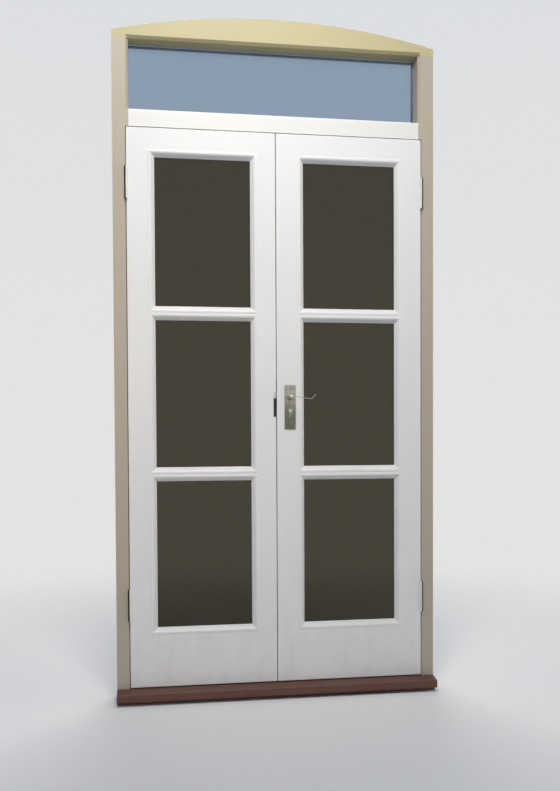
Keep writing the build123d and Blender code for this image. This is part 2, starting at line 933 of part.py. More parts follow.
def make_sill():
    """The sill: a weathered nose with a drip groove, and an upstand behind the leaves."""
    nose_top = sill_height - sill_fall
    nose_bottom = nose_top - sill_nose_height
    base_front = sill_base_setback - sill_projection
    drip = drip_setback - sill_projection
    with BuildPart() as sill:
        with BuildSketch(Plane.YZ.offset(-frame_half)) as section:
            Polygon(
                (-sill_projection, nose_bottom),
                (-sill_projection, nose_top),
                (0, sill_height),
                (stop_y, sill_height),
                (stop_y, upstand_top),
                (frame_depth, upstand_top),
                (frame_depth, 0),
                (base_front, 0),
                (base_front, nose_bottom),
                align=None,
            )
            nose = section.vertices().group_by(Axis.X)[0]
            fillet(nose, sill_nose_round)
            with Locations((drip + drip_width / 2, nose_bottom)):
                Rectangle(drip_width, 2 * drip_depth, mode=Mode.SUBTRACT)
        extrude(amount=2 * frame_half)
        for side in side_names:
            block(
                [side * x for x in widened(jamb_tenon_x)],
                widened(frame_tenon_y),
                (sill_height, sill_height - frame_tenon_length - mortice_clearance),
                mode=Mode.SUBTRACT,
            )
        block(
            (-cross_seal_half, cross_seal_half),
            (stop_y, stop_y + kerf_depth),
            (sill_seal_z - kerf_half, sill_seal_z + kerf_half),
            mode=Mode.SUBTRACT,
        )
        cut_bolt_socket(*bolt_places["bottom"])
    save("sill", sill)


knuckle_length = (hinge_height - (knuckle_count - 1) * knuckle_gap) / knuckle_count


def knuckle_starts(level, odd):
    """The lower ends of a hinge's knuckles, of the jamb's plate or, if odd, of the leaf's."""
    bottom = hinge_span(level)[0]
    return [bottom + n * (knuckle_length + knuckle_gap) for n in range(odd, knuckle_count, 2)]


def make_leaf_hinges(side):
    """The plates on a leaf's edge, with the knuckles that turn on the pins."""
    faces = (side * leaf_edge, side * (leaf_edge - hinge_plate_thickness))
    with BuildPart() as plates:
        for level in hinge_levels:
            block(faces, (0, hinge_plate_width), hinge_span(level))
            for start in knuckle_starts(level, 1):
                block(faces, (-pin_standoff, 0), (start, start + knuckle_length))
                foot = (side * hinge_axis, -pin_standoff, start)
                bar_round(foot, (0, 0, 1), knuckle_radius, knuckle_length, Mode.ADD)
                bar_round(foot, (0, 0, 1), pin_radius + pin_clearance, knuckle_length)
    save(f"{side_names[side]}_hinge_plates", plates)


def make_frame_hinges():
    """The plates on the jambs, with their knuckles and the pins that are fixed in them."""
    with BuildPart() as plates:
        for side in side_names:
            faces = (side * jamb_face, side * (jamb_face + hinge_plate_thickness))
            for level in hinge_levels:
                low = hinge_span(level)[0]
                block(faces, (0, hinge_plate_width), hinge_span(level))
                foot = (side * hinge_axis, -pin_standoff, low)
                bar_round(foot, (0, 0, 1), pin_radius, hinge_height, Mode.ADD)
                for start in knuckle_starts(level, 0):
                    block(faces, (-pin_standoff, 0), (start, start + knuckle_length))
                    foot = (side * hinge_axis, -pin_standoff, start)
                    bar_round(foot, (0, 0, 1), knuckle_radius, knuckle_length, Mode.ADD)
    save("frame_hinge_plates", plates)


# The lock's bolts and what turns them
latch_nose = -meeting_near - latch_throw
latch_back = lever_x - follower_radius - latch_throw - latch_back_gap
hook_front = lever_x + follower_toe_width / 2 + toe_play
hook_bottom = lever_z + follower_toe - hook_thickness
dead_bolt_front = dead_bolt_recess - meeting_near
dead_bolt_back = lever_x - cam_radius - dead_bolt_back_gap
case_front_y = lock_depth - case_thickness / 2
case_back_y = lock_depth + case_thickness / 2


def make_forend():
    """The lock's stepped forend, with the mouths of both bolts."""
    with BuildPart() as forend:
        prism(forend_base, forend_outline, forend_height)
        for levels in bolt_levels(bolt_clearance):
            block(
                (-meeting_near, meeting_far),
                bolt_depths(bolt_clearance),
                levels,
                mode=Mode.SUBTRACT,
            )
    save("lock_forend", forend)


def make_case():
    """The lock's thin-walled case, open where the bolts, the follower and the cylinder pass."""
    with BuildPart() as case:
        block((case_front, case_back), (case_front_y, case_back_y), (case_low, case_high))
        block(
            (case_front + case_wall, case_back - case_wall),
            (case_front_y + case_wall, case_back_y - case_wall),
            (case_low + case_wall, case_high - case_wall),
            mode=Mode.SUBTRACT,
        )
        for levels in bolt_levels(bolt_clearance):
            block(
                (case_front, case_front + case_wall),
                bolt_depths(bolt_clearance),
                levels,
                mode=Mode.SUBTRACT,
            )
        start = (lever_x, case_front_y, lever_z)
        bar_round(start, (0, 1, 0), follower_radius + follower_clearance, case_thickness)
        cut_cylinder_slot(case_front_y, case_back_y)
    save("lock_case", case)


def make_latch_bolt():
    """The bevelled latch bolt, with a tail that hooks behind the follower's toe."""
    front, back = bolt_depths()
    hook_back = hook_front + hook_thickness
    tail_top = latch_high + tail_thickness
    with BuildPart() as latch:
        block((latch_nose, latch_back), (front, back), (latch_low, latch_high))
        nose = latch.edges().filter_by(Axis.Z).group_by(Axis.X)[0].sort_by(Axis.Y)[-1]
        chamfer(nose, latch_bevel)
        block(
            (case_front + case_wall + bolt_clearance, hook_back),
            (front, back),
            (latch_high, tail_top),
        )
        block((hook_front, hook_back), (front, back), (hook_bottom, tail_top))
    save("latch_bolt", latch)


def make_dead_bolt():
    """The rectangular dead bolt, drawn back into the forend."""
    with BuildPart() as bolt:
        block((dead_bolt_front, dead_bolt_back), bolt_depths(), bolt_levels()[1])
    save("dead_bolt", bolt)


def square_bar(front, back, size, mode=Mode.ADD):
    """Adds or cuts the square of the spindle between two depths."""
    with BuildSketch(outward_plane(lever_x, back, lever_z)) as square:
        Rectangle(size, size)
    extrude(square.sketch, amount=back - front, mode=mode)


def make_follower():
    """The follower: a barrel that runs in the walls of the case, with a toe above it."""
    front, back = bolt_depths()
    with BuildPart() as follower:
        start = (lever_x, case_front_y, lever_z)
        bar_round(start, (0, 1, 0), follower_radius, case_thickness, Mode.ADD)
        half = follower_toe_width / 2
        block(
            (lever_x - half, lever_x + half),
            (front, back),
            (lever_z, lever_z + follower_toe),
        )
        square_bar(case_front_y, case_back_y, spindle_size + spindle_clearance, Mode.SUBTRACT)
    save("lock_follower", follower)


def make_cylinder():
    """The profile cylinder: its body, and its outer plug with the cam that throws the bolt."""
    front, back = -cylinder_outer_reach, leaf_thickness + cylinder_inner_reach
    cam_front, cam_back = lock_depth - cam_thickness / 2, lock_depth + cam_thickness / 2
    start = (lever_x, front, cylinder_z)
    with BuildPart() as body:
        cylinder_profile(front, back)
        block(
            (lever_x - cylinder_radius, lever_x + cylinder_radius),
            (cam_front - cam_gap, cam_back + cam_gap),
            (cylinder_foot + cylinder_bridge, cylinder_z + cylinder_radius),
            mode=Mode.SUBTRACT,
        )
        bar_round(start, (0, 1, 0), plug_radius + plug_clearance, cam_front - front)
    save("cylinder_body", body)
    with BuildPart() as plug:
        bar_round(start, (0, 1, 0), plug_radius, cam_back - front, Mode.ADD)
        block(
            (lever_x - cam_width / 2, lever_x + cam_width / 2),
            (cam_front, cam_back),
            (cylinder_z, cylinder_z - cam_radius),
        )
        block(
            (lever_x - keyway_width / 2, lever_x + keyway_width / 2),
            (front, front + keyway_depth),
            (cylinder_z - keyway_height / 2, cylinder_z + keyway_height / 2),
            mode=Mode.SUBTRACT,
        )
    save("cylinder_plug", plug)


def make_backplate(name, face, way):
    """A bevelled backplate with its collar, on one face of the leaf."""
    outer = face + way * plate_thickness
    with BuildPart() as plate:
        block(
            (lever_x - plate_width / 2, lever_x + plate_width / 2),
            (face, outer),
            (plate_z - plate_height / 2, plate_z + plate_height / 2),
        )
        shown = plate.faces().sort_by(Axis.Y)[0 if way < 0 else -1]
        chamfer(shown.edges(), plate_bevel)
        centre = (lever_x, face, lever_z)
        bar_round(centre, (0, way, 0), collar_radius, plate_thickness + collar_height, Mode.ADD)
        bar_round(centre, (0, way, 0), spindle_hole, plate_thickness + collar_height)
        near, far = sorted((face, outer))
        cylinder_profile(near, far, cylinder_clearance, Mode.SUBTRACT)
    save(name, plate)


def arm_section_plane(line, place):
    """A plane across the lever's arm, at a share of the length of a line."""
    return Plane(origin=line @ place, x_dir=(0, 1, 0), z_dir=line % place)


def arm_section(height):
    """The eight-sided section of the lever's arm, in the sketch being made."""
    outline = Rectangle(arm_depth, height)
    chamfer(outline.vertices(), arm_chamfer)


def make_lever(name, face, way):
    """A drooping lever with a turned-up scroll at its tip, on one face of the leaf."""
    arm_y = face + way * (plate_thickness + lever_projection)
    hub_start = face + way * (plate_thickness + collar_height + hub_turning_gap)
    hub_end = arm_y + way * arm_depth / 2
    arm_plane = outward_plane(lever_x, arm_y, lever_z)
    with BuildLine(arm_plane) as taper:
        Line(arm_start, arm_taper_end)
    with BuildLine(arm_plane) as tip:
        FilletPolyline(arm_taper_end, arm_low, arm_scroll, radius=arm_bend_radius)
    with BuildPart() as arm:
        for place, height in ((0, arm_root_height), (1, arm_height)):
            with BuildSketch(arm_section_plane(taper.line, place)):
                arm_section(height)
        loft()
    with BuildPart() as curl:
        with BuildSketch(arm_section_plane(tip.line, 0)):
            arm_section(arm_height)
        sweep(path=tip.line)
    end = tip.line @ 1
    with BuildPart() as lever:
        length = abs(hub_end - hub_start)
        bar_round((lever_x, hub_start, lever_z), (0, way, 0), hub_radius, length, Mode.ADD)
        add(arm.part)
        add(curl.part)
        scroll_start = (end.X, arm_y - arm_depth / 2, end.Z)
        bar_round(scroll_start, (0, 1, 0), scroll_radius, arm_depth, Mode.ADD)
        socket_end = hub_start + way * spindle_socket
        square_bar(
            min(hub_start, socket_end),
            max(hub_start, socket_end),
            spindle_size + spindle_clearance,
            Mode.SUBTRACT,
        )
    save(name, lever)


def make_spindle():
    """The square spindle that joins both levers through the follower."""
    reach = plate_thickness + collar_height + hub_turning_gap + spindle_socket - spindle_end_gap
    with BuildPart() as spindle:
        square_bar(-reach, leaf_thickness + reach, spindle_size)
    save("spindle", spindle)


keep_edge = -meeting_far


def make_lock_keep():
    """The keep: a plate round the outer meeting corner of the left leaf, with two holes."""
    levels = (keep_low, keep_high)
    with BuildPart() as keep:
        block(
            (keep_edge, keep_edge - keep_thickness),
            (keep_face_recess, tongue_front - keep_tongue_gap),
            levels,
        )
        block(
            (keep_edge, keep_edge - keep_face_width),
            (keep_face_recess, keep_face_recess + keep_thickness),
            levels,
        )
        corner = keep.edges().filter_by(Axis.Z).group_by(Axis.X)[-1].sort_by(Axis.Y)[0]
        fillet(corner, keep_corner_round)
        for span in bolt_levels(keep_hole_clearance):
            block(
                (keep_edge, keep_edge - keep_thickness),
                bolt_depths(keep_hole_clearance),
                span,
                mode=Mode.SUBTRACT,
            )
    save("lock_keep", keep)


def bolt_plate_span(face, way):
    """The Z of a bolt plate's end near the frame, and of its far end."""
    near = face - way * bolt_plate_from_stop
    return near, near - way * bolt_plate_height


def make_bolt(name, face, way):
    """A surface bolt on the left leaf: its plate with two guides, and its rod with a knob."""
    near, far = bolt_plate_span(face, way)
    plate_face = leaf_thickness + bolt_plate_thickness
    with BuildPart() as plate:
        block(
            (-bolt_centre - bolt_plate_width / 2, -bolt_centre + bolt_plate_width / 2),
            (leaf_thickness, plate_face),
            (near, far),
        )
        for end, along in ((near, -way), (far, way)):
            block(
                (-bolt_centre - bolt_guide_width / 2, -bolt_centre + bolt_guide_width / 2),
                (plate_face, bolt_y + bolt_guide_width / 2),
                (end, end + along * bolt_guide_height),
            )
        outer_edges = plate.edges().filter_by(Axis.Z).group_by(Axis.Y)[-1]
        chamfer(outer_edges, bolt_guide_chamfer)
        bolt_bar(bolt_rod_clearance, (near, far), Mode.SUBTRACT)
    save(f"{name}_bolt_plate", plate)
    tip = face - way * bolt_tip_gap
    tail = far - way * (bolt_travel + bolt_tail_spare)
    knob_z = (near + far) / 2 - way * bolt_travel / 2
    with BuildPart() as rod:
        bolt_bar(0, (tail, tip))
        chamfer(rod.faces().sort_by(Axis.Z)[-1 if way > 0 else 0].edges(), bolt_tip_chamfer)
        bar_round(
            (-bolt_centre, bolt_y, knob_z),
            (0, 1, 0),
            bolt_knob_radius,
            bolt_knob_length + bolt_rod_size / 2,
            Mode.ADD,
        )
    save(f"{name}_bolt_rod", rod)


def make_leaf_glazing(side):
    """The three sealed units of a leaf, with their spacers and their glazing beads."""
    side_name = side_names[side]
    rings = []
    beads = []
    for pane, level in zip(pane_names, pane_bottoms):
        xs, zs = pane_sights(side, level)
        sealed_unit(f"{side_name}_{pane}_glass", xs, zs, glass_depth)
        rings.append(spacer_ring(xs, zs, glass_depth))
        beads += beads_round(leaf_bead_section, leaf_thickness, xs, zs)
    with BuildPart() as spacers:
        add(rings)
    save(f"{side_name}_spacers", spacers)
    with BuildPart() as all_beads:
        add(beads)
    save(f"{side_name}_beads", all_beads)


def make_fanlight():
    """The fixed sealed unit over the transom, with its spacer and its glazing beads."""
    xs, zs = (-stop_face, stop_face), (fanlight_bottom, head_soffit)
    sealed_unit("fanlight_glass", xs, zs, fanlight_glass_depth)
    beads = beads_round(fanlight_bead_section, frame_depth, xs, zs)
    ring = spacer_ring(xs, zs, fanlight_glass_depth)
    with BuildPart() as spacer:
        add(ring)
    save("fanlight_spacer", spacer)
    with BuildPart() as fanlight_beads:
        add(beads)
    save("fanlight_beads", fanlight_beads)


for side in side_names:
    make_hinge_stile(side)
    make_meeting_stile(side)
    for rail in rail_levels():
        make_rail(side, *rail)
    make_leaf_glazing(side)
    make_jamb(side)
    make_leaf_hinges(side)
make_head()
make_transom()
make_sill()
make_fanlight()
make_seals()
make_frame_hinges()
make_forend()
make_case()
make_latch_bolt()
make_dead_bolt()
make_follower()
make_cylinder()
for name, face, way in (("outer", 0, -1), ("inner", leaf_thickness, 1)):
    make_backplate(f"{name}_backplate", face, way)
    make_lever(f"{name}_lever", face, way)
make_spindle()
make_lock_keep()
for name, (face, way) in bolt_places.items():
    make_bolt(name, face, way)
    make_bolt_keep(name, face, way)
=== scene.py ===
import json
import math

import bmesh
import bpy
import numpy as np
from mathutils import Matrix, Vector


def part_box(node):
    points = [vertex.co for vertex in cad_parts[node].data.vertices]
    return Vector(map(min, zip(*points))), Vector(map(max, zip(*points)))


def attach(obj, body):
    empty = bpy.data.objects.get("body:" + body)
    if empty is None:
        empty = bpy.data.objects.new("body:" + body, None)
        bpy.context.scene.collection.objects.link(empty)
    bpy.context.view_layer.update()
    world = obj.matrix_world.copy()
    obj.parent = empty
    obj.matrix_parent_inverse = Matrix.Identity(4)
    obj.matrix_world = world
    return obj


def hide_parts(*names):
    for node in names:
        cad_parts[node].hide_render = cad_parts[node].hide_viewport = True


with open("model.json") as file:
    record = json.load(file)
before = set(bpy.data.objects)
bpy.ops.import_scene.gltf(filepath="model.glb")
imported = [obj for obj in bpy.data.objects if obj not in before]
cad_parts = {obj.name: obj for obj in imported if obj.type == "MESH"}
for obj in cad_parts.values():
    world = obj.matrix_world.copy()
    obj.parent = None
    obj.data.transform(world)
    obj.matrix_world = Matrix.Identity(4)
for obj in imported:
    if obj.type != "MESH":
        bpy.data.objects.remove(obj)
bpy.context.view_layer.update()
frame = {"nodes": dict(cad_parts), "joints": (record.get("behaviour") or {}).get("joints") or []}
nodes = frame["nodes"]
mm = 0.001
axisOf = {j["name"]: j.get("pos_m") for j in frame["joints"]}
leverX, _, leverZ = (v / mm for v in axisOf["lever_turn"])  # middle of the spindle
cylinderZ = axisOf["cylinder_turn"][2] / mm
print("frame loaded:", len(nodes), "nodes")


# Camera, fitted to the photograph: its place, and how it is turned
camera = {
    "place": (-0.482, -3.174, 0.966),
    "yawDegrees": 8.74,
    "pitchDegrees": -1.56,
    "rollDegrees": -0.26,
    "focalPixels": 885,
    "imagePixels": (560, 791),
    "principalRow": 455.5,
    "sensorMm": 36,
    "farthest": 100,
}


# Forward is (sin yaw cos pitch, cos yaw cos pitch, sin pitch); roll turns right and up about it
def addCamera(c):
    yaw, pitch, roll = (math.radians(c[k]) for k in ("yawDegrees", "pitchDegrees", "rollDegrees"))
    forward = Vector((math.sin(yaw) * math.cos(pitch), math.cos(yaw) * math.cos(pitch),
                      math.sin(pitch)))
    aside = Vector((math.cos(yaw), -math.sin(yaw), 0))
    up = aside.cross(forward)
    right = aside * math.cos(roll) + up * math.sin(roll)
    up = right.cross(forward)
    data = bpy.data.cameras.new("photoCamera")
    wide, tall = c["imagePixels"]
    data.sensor_width = c["sensorMm"]
    data.lens = c["focalPixels"] / max(wide, tall) * c["sensorMm"]
    data.shift_y = (c["principalRow"] - tall / 2) / max(wide, tall)
    data.clip_end = c["farthest"]
    seen = bpy.data.objects.new("photoCamera", data)
    turn = Matrix((right, up, -forward)).transposed().to_4x4()
    seen.matrix_world = Matrix.Translation(c["place"]) @ turn
    bpy.context.scene.collection.objects.link(seen)
    bpy.context.scene.camera = seen


addCamera(camera)
bpy.context.scene.view_settings.view_transform = "Standard"
print("camera placed")


# Light: a soft cool sky all round, a lamp above, a warm one on the left leaf, one that grazes
# the leaves from the right and one behind. The camera, the glass and the metal see a plain
# pale backdrop.
studio = {
    "backdropLow": (0.77, 0.77, 0.76),
    "backdropHigh": (0.66, 0.70, 0.76),
    "highFrom": 0.10,  # where the low colour starts to give way, as the sine of the height
    "highTo": 0.80,
    "skyLow": (0.30, 0.36, 0.45),
    "skyHigh": (0.36, 0.44, 0.58),
    "skyStrength": 0.62,
    "floorColour": (0.86, 0.85, 0.825),
    "floorPatchTone": 0.96,
    "floorPatchScale": 1.5,
    "floorRoughness": 0.9,
    "floorSize": 80.0,
    "floorFade": (0.7, 3.4),  # metres from the origin
    "lamps": [
        {"place": (-0.25, -1.95, 3.75), "aim": (0.02, 0, 1.80), "size": 0.9, "spread": 100,
         "watts": 24, "colour": (1.0, 0.97, 0.93), "mirrored": True},
        {"place": (-1.6, -4.6, 1.5), "aim": (-0.62, 0, 1.05), "size": 0.8, "spread": 40,
         "watts": 2.0, "colour": (1.0, 0.78, 0.60), "mirrored": False},
        {"place": (4.6, -1.3, 1.9), "aim": (0, 0, 1.2), "size": 1.8, "spread": 120,
         "watts": 14, "colour": (1.0, 0.93, 0.80), "mirrored": True},
        {"place": (0.4, 2.9, 4.9), "aim": (0, 0, 1.3), "size": 2.4, "spread": 180,
         "watts": 100, "colour": (1.0, 0.98, 0.95), "mirrored": True},
    ],
}


def addLamp(number, lamp):
    data = bpy.data.lights.new(f"softLamp{number}", "AREA")
    data.shape = "SQUARE"
    data.size = lamp["size"]
    data.spread = math.radians(lamp["spread"])
    data.energy = lamp["watts"]
    data.color = lamp["colour"]
    holder = bpy.data.objects.new(f"softLamp{number}", data)
    holder.location = lamp["place"]
    aim = Vector(lamp["aim"]) - Vector(lamp["place"])
    holder.rotation_euler = aim.to_track_quat("-Z", "Y").to_euler()
    holder.visible_transmission = False  # no lamp shows through the panes
    holder.visible_glossy = lamp["mirrored"]
    bpy.context.scene.collection.objects.link(holder)


# One where the camera, a mirror reflection or a ray through glass looks, nothing for light
def seenMask(tree):
    path = tree.nodes.new("ShaderNodeLightPath")
    either = tree.nodes.new("ShaderNodeMath")
    either.operation = "MAXIMUM"
    tree.links.new(path.outputs["Is Camera Ray"], either.inputs[0])
    tree.links.new(path.outputs["Is Glossy Ray"], either.inputs[1])
    anyOf = tree.nodes.new("ShaderNodeMath")
    anyOf.operation = "MAXIMUM"
    tree.links.new(either.outputs[0], anyOf.inputs[0])
    tree.links.new(path.outputs["Is Transmission Ray"], anyOf.inputs[1])
    return anyOf.outputs[0]


def skyPart(tree, rise, low, high, strength):
    blend = tree.nodes.new("ShaderNodeMix")
    blend.data_type = "RGBA"
    blend.inputs[6].default_value = (*low, 1)
    blend.inputs[7].default_value = (*high, 1)
    tree.links.new(rise, blend.inputs[0])
    light = tree.nodes.new("ShaderNodeBackground")
    light.inputs["Strength"].default_value = strength
    tree.links.new(blend.outputs[2], light.inputs["Color"])
    return light.outputs[0]


def addSky(s):
    world = bpy.data.worlds.new("sky")
    bpy.context.scene.world = world
    world.use_nodes = True
    tree = world.node_tree
    tree.nodes.clear()
    place = tree.nodes.new("ShaderNodeTexCoord")
    split = tree.nodes.new("ShaderNodeSeparateXYZ")
    rise = tree.nodes.new("ShaderNodeMapRange")
    rise.inputs["From Min"].default_value = s["highFrom"]
    rise.inputs["From Max"].default_value = s["highTo"]
    tree.links.new(place.outputs["Generated"], split.inputs[0])
    tree.links.new(split.outputs["Z"], rise.inputs["Value"])
    height = rise.outputs["Result"]
    lighting = skyPart(tree, height, s["skyLow"], s["skyHigh"], s["skyStrength"])
    backdrop = skyPart(tree, height, s["backdropLow"], s["backdropHigh"], 1.0)
    choose = tree.nodes.new("ShaderNodeMixShader")
    tree.links.new(seenMask(tree), choose.inputs[0])
    tree.links.new(lighting, choose.inputs[1])
    tree.links.new(backdrop, choose.inputs[2])
    out = tree.nodes.new("ShaderNodeOutputWorld")
    tree.links.new(choose.outputs[0], out.inputs["Surface"])


for lampNumber, lampValues in enumerate(studio["lamps"]):
    addLamp(lampNumber, lampValues)
addSky(studio)
print("lamps and sky set")


# Shader groups, each built once
def newGroup(name, inputs, outputs):
    tree = bpy.data.node_groups.new(name, "ShaderNodeTree")
    for label, kind, value in inputs:
        socket = tree.interface.new_socket(name=label, in_out="INPUT", socket_type=kind)
        if value is not None:
            socket.default_value = value
    for label, kind in outputs:
        tree.interface.new_socket(name=label, in_out="OUTPUT", socket_type=kind)
    start = tree.nodes.new("NodeGroupInput")
    end = tree.nodes.new("NodeGroupOutput")
    return tree, start, end


def mathNode(tree, operation, first, second=None, third=None):
    node = tree.nodes.new("ShaderNodeMath")
    node.operation = operation
    for socket, value in zip(node.inputs, (first, second, third)):
        if value is None:
            continue
        if isinstance(value, (int, float)):
            socket.default_value = value
        else:
            tree.links.new(value, socket)
    return node.outputs[0]


def noiseNode(tree, vector, scale, detail=3.0, roughness=0.5):
    node = tree.nodes.new("ShaderNodeTexNoise")
    node.inputs["Scale"].default_value = scale
    node.inputs["Detail"].default_value = detail
    node.inputs["Roughness"].default_value = roughness
    tree.links.new(vector, node.inputs["Vector"])
    return node.outputs["Fac"]


def rangeNode(tree, value, fromLow, fromHigh, toLow=0.0, toHigh=1.0):
    node = tree.nodes.new("ShaderNodeMapRange")
    node.interpolation_type = "SMOOTHSTEP"
    for label, amount in (("From Min", fromLow), ("From Max", fromHigh), ("To Min", toLow),
                          ("To Max", toHigh)):
        node.inputs[label].default_value = amount
    tree.links.new(value, node.inputs["Value"])
    return node.outputs["Result"]


def mixColours(tree, factor, first, second):
    node = tree.nodes.new("ShaderNodeMix")
    node.data_type = "RGBA"
    for socket, value in zip((node.inputs[0], node.inputs[6], node.inputs[7]),
                             (factor, first, second)):
        if isinstance(value, (int, float)):
            socket.default_value = value
        elif isinstance(value, tuple):
            socket.default_value = (*value, 1)
        else:
            tree.links.new(value, socket)
    return node.outputs[2]


def multiplied(tree, first, second):
    node = tree.nodes.new("ShaderNodeMix")
    node.data_type = "RGBA"
    node.blend_type = "MULTIPLY"
    node.inputs[0].default_value = 1.0
    tree.links.new(first, node.inputs[6])
    tree.links.new(second, node.inputs[7])
    return node.outputs[2]


def stretched(tree, vector, scale):
    node = tree.nodes.new("ShaderNodeMapping")
    tree.links.new(vector, node.inputs["Vector"])
    if isinstance(scale, tuple):
        node.inputs["Scale"].default_value = scale
    else:
        tree.links.new(scale, node.inputs["Scale"])
    return node.outputs["Vector"]


# Brushed paint on timber: brush marks and grain along one direction, a soft change of tone, and a
# darker tone in streaks and patches towards the foot, partly grime and partly painted shade. Scales
# are per metre, ranges are of the noise's value.
paintMarks = {
    "grainScale": 0.33,  # against the brush marks
    "grainShare": 0.6,
    "broadScale": 2.2,
    "broadRange": (0.35, 0.70),
    "broadShare": 0.10,
    "patchScale": 14.0,
    "patchRange": (0.30, 0.75),
    "streakStretch": (34.0, 34.0, 1.6),
    "soilAndShadeHeights": (0.06, 0.62),  # full below the first, none above the second
    "roughnessSpread": 0.12,
}


def buildPaintGroup():
    m = paintMarks
    tree, start, end = newGroup(
        "brushedPaint",
        [("Colour", "NodeSocketColor", None), ("Soil And Shade", "NodeSocketColor", None),
         ("Stretch", "NodeSocketVector", None), ("Soil And Shade Amount", "NodeSocketFloat", 0.4),
         ("Gloss", "NodeSocketFloat", 0.38)],
        [("Colour", "NodeSocketColor"), ("Roughness", "NodeSocketFloat"),
         ("Height", "NodeSocketFloat")])
    place = tree.nodes.new("ShaderNodeTexCoord").outputs["Object"]
    along = stretched(tree, place, start.outputs["Stretch"])
    brush = noiseNode(tree, along, 1.0, 4.0, 0.6)
    grain = noiseNode(tree, along, m["grainScale"], 2.0, 0.5)
    broad = noiseNode(tree, place, m["broadScale"], 3.0)
    patches = noiseNode(tree, place, m["patchScale"], 5.0, 0.65)
    split = tree.nodes.new("ShaderNodeSeparateXYZ")
    tree.links.new(place, split.inputs[0])
    # darker towards the foot: partly grime, partly painted shade where the leaves fall into shade
    # lower down
    low = rangeNode(tree, split.outputs["Z"], *m["soilAndShadeHeights"], 1.0, 0.0)
    streaks = noiseNode(tree, stretched(tree, place, m["streakStretch"]), 1.0, 4.0, 0.6)
    soilAndShade = mathNode(tree, "MULTIPLY", mathNode(tree, "MULTIPLY", low, streaks),
                     rangeNode(tree, patches, *m["patchRange"]))
    soft = mathNode(tree, "MULTIPLY", rangeNode(tree, broad, *m["broadRange"]), m["broadShare"])
    amount = mathNode(tree, "MULTIPLY_ADD", soilAndShade, start.outputs["Soil And Shade Amount"],
                      mathNode(tree, "MULTIPLY", soft, start.outputs["Soil And Shade Amount"]))
    colour = mixColours(tree, amount, start.outputs["Colour"], start.outputs["Soil And Shade"])
    rough = mathNode(tree, "MULTIPLY_ADD", patches, m["roughnessSpread"], start.outputs["Gloss"])
    height = mathNode(tree, "MULTIPLY_ADD", grain, m["grainShare"], brush)
    tree.links.new(colour, end.inputs["Colour"])
    tree.links.new(rough, end.inputs["Roughness"])
    tree.links.new(height, end.inputs["Height"])
    return tree


# Handled metal: tarnish in patches, fine scratches along one direction
metalMarks = {
    "patchScale": 55.0,
    "tarnishRange": (0.36, 0.68),
    "tarnishRoughness": 0.22,
    "scratchRoughness": 0.10,
    "speckScale": 420.0,
    "speckShare": 0.35,
}


def buildMetalGroup():
    m = metalMarks
    tree, start, end = newGroup(
        "handledMetal",
        [("Colour", "NodeSocketColor", None), ("Tarnish", "NodeSocketColor", None),
         ("Stretch", "NodeSocketVector", None), ("Tarnish Amount", "NodeSocketFloat", 0.5),
         ("Gloss", "NodeSocketFloat", 0.28)],
        [("Colour", "NodeSocketColor"), ("Roughness", "NodeSocketFloat"),
         ("Height", "NodeSocketFloat")])
    place = tree.nodes.new("ShaderNodeTexCoord").outputs["Object"]
    patches = noiseNode(tree, place, m["patchScale"], 5.0, 0.6)
    specks = noiseNode(tree, place, m["speckScale"], 2.0)
    scratches = noiseNode(tree, stretched(tree, place, start.outputs["Stretch"]), 1.0, 3.0, 0.7)
    tarnished = mathNode(tree, "MULTIPLY", rangeNode(tree, patches, *m["tarnishRange"]),
                         start.outputs["Tarnish Amount"])
    colour = mixColours(tree, tarnished, start.outputs["Colour"], start.outputs["Tarnish"])
    rough = mathNode(tree, "MULTIPLY_ADD", tarnished, m["tarnishRoughness"],
                     start.outputs["Gloss"])
    rough = mathNode(tree, "MULTIPLY_ADD", scratches, m["scratchRoughness"], rough)
    height = mathNode(tree, "MULTIPLY_ADD", specks, m["speckShare"], scratches)
    tree.links.new(colour, end.inputs["Colour"])
    tree.links.new(rough, end.inputs["Roughness"])
    tree.links.new(height, end.inputs["Height"])
    return tree


paintGroup = buildPaintGroup()
metalGroup = buildMetalGroup()
print("shader groups built")


def newMaterial(name):
    material = bpy.data.materials.new(name)
    material.use_nodes = True
    tree = material.node_tree
    shader = next(n for n in tree.nodes if n.type == "BSDF_PRINCIPLED")
    return material, tree, shader


def placeGroup(tree, group, values):
    node = tree.nodes.new("ShaderNodeGroup")
    node.node_tree = group
    for label, value in values.items():
        node.inputs[label].default_value = (*value, 1) if label in ("Colour", "Soil And Shade",
                                                                    "Tarnish") else value
    return node


# How deep the marks of each kind of surface are
bumpDistance = {"paint": 0.4 * mm, "metal": 0.08 * mm, "rubber": 0.1 * mm}


def addBump(tree, shader, height, distance, strength):
    bump = tree.nodes.new("ShaderNodeBump")
    bump.inputs["Distance"].default_value = distance
    bump.inputs["Strength"].default_value = strength
    tree.links.new(height, bump.inputs["Height"])
    tree.links.new(bump.outputs["Normal"], shader.inputs["Normal"])


def paintMaterial(name, values, bumpStrength):
    material, tree, shader = newMaterial(name)
    coat = placeGroup(tree, paintGroup, values)
    tree.links.new(coat.outputs["Colour"], shader.inputs["Base Color"])
    tree.links.new(coat.outputs["Roughness"], shader.inputs["Roughness"])
    addBump(tree, shader, coat.outputs["Height"], bumpDistance["paint"], bumpStrength)
    return material


def metalMaterial(name, values, bumpStrength):
    material, tree, shader = newMaterial(name)
    skin = placeGroup(tree, metalGroup, values)
    shader.inputs["Metallic"].default_value = 1.0
    tree.links.new(skin.outputs["Colour"], shader.inputs["Base Color"])
    tree.links.new(skin.outputs["Roughness"], shader.inputs["Roughness"])
    addBump(tree, shader, skin.outputs["Height"], bumpDistance["metal"], bumpStrength)
    return material


upright = (150.0, 150.0, 3.0)  # brush marks along Z
level = (3.0, 150.0, 150.0)  # brush marks along X
paintBump = 0.35

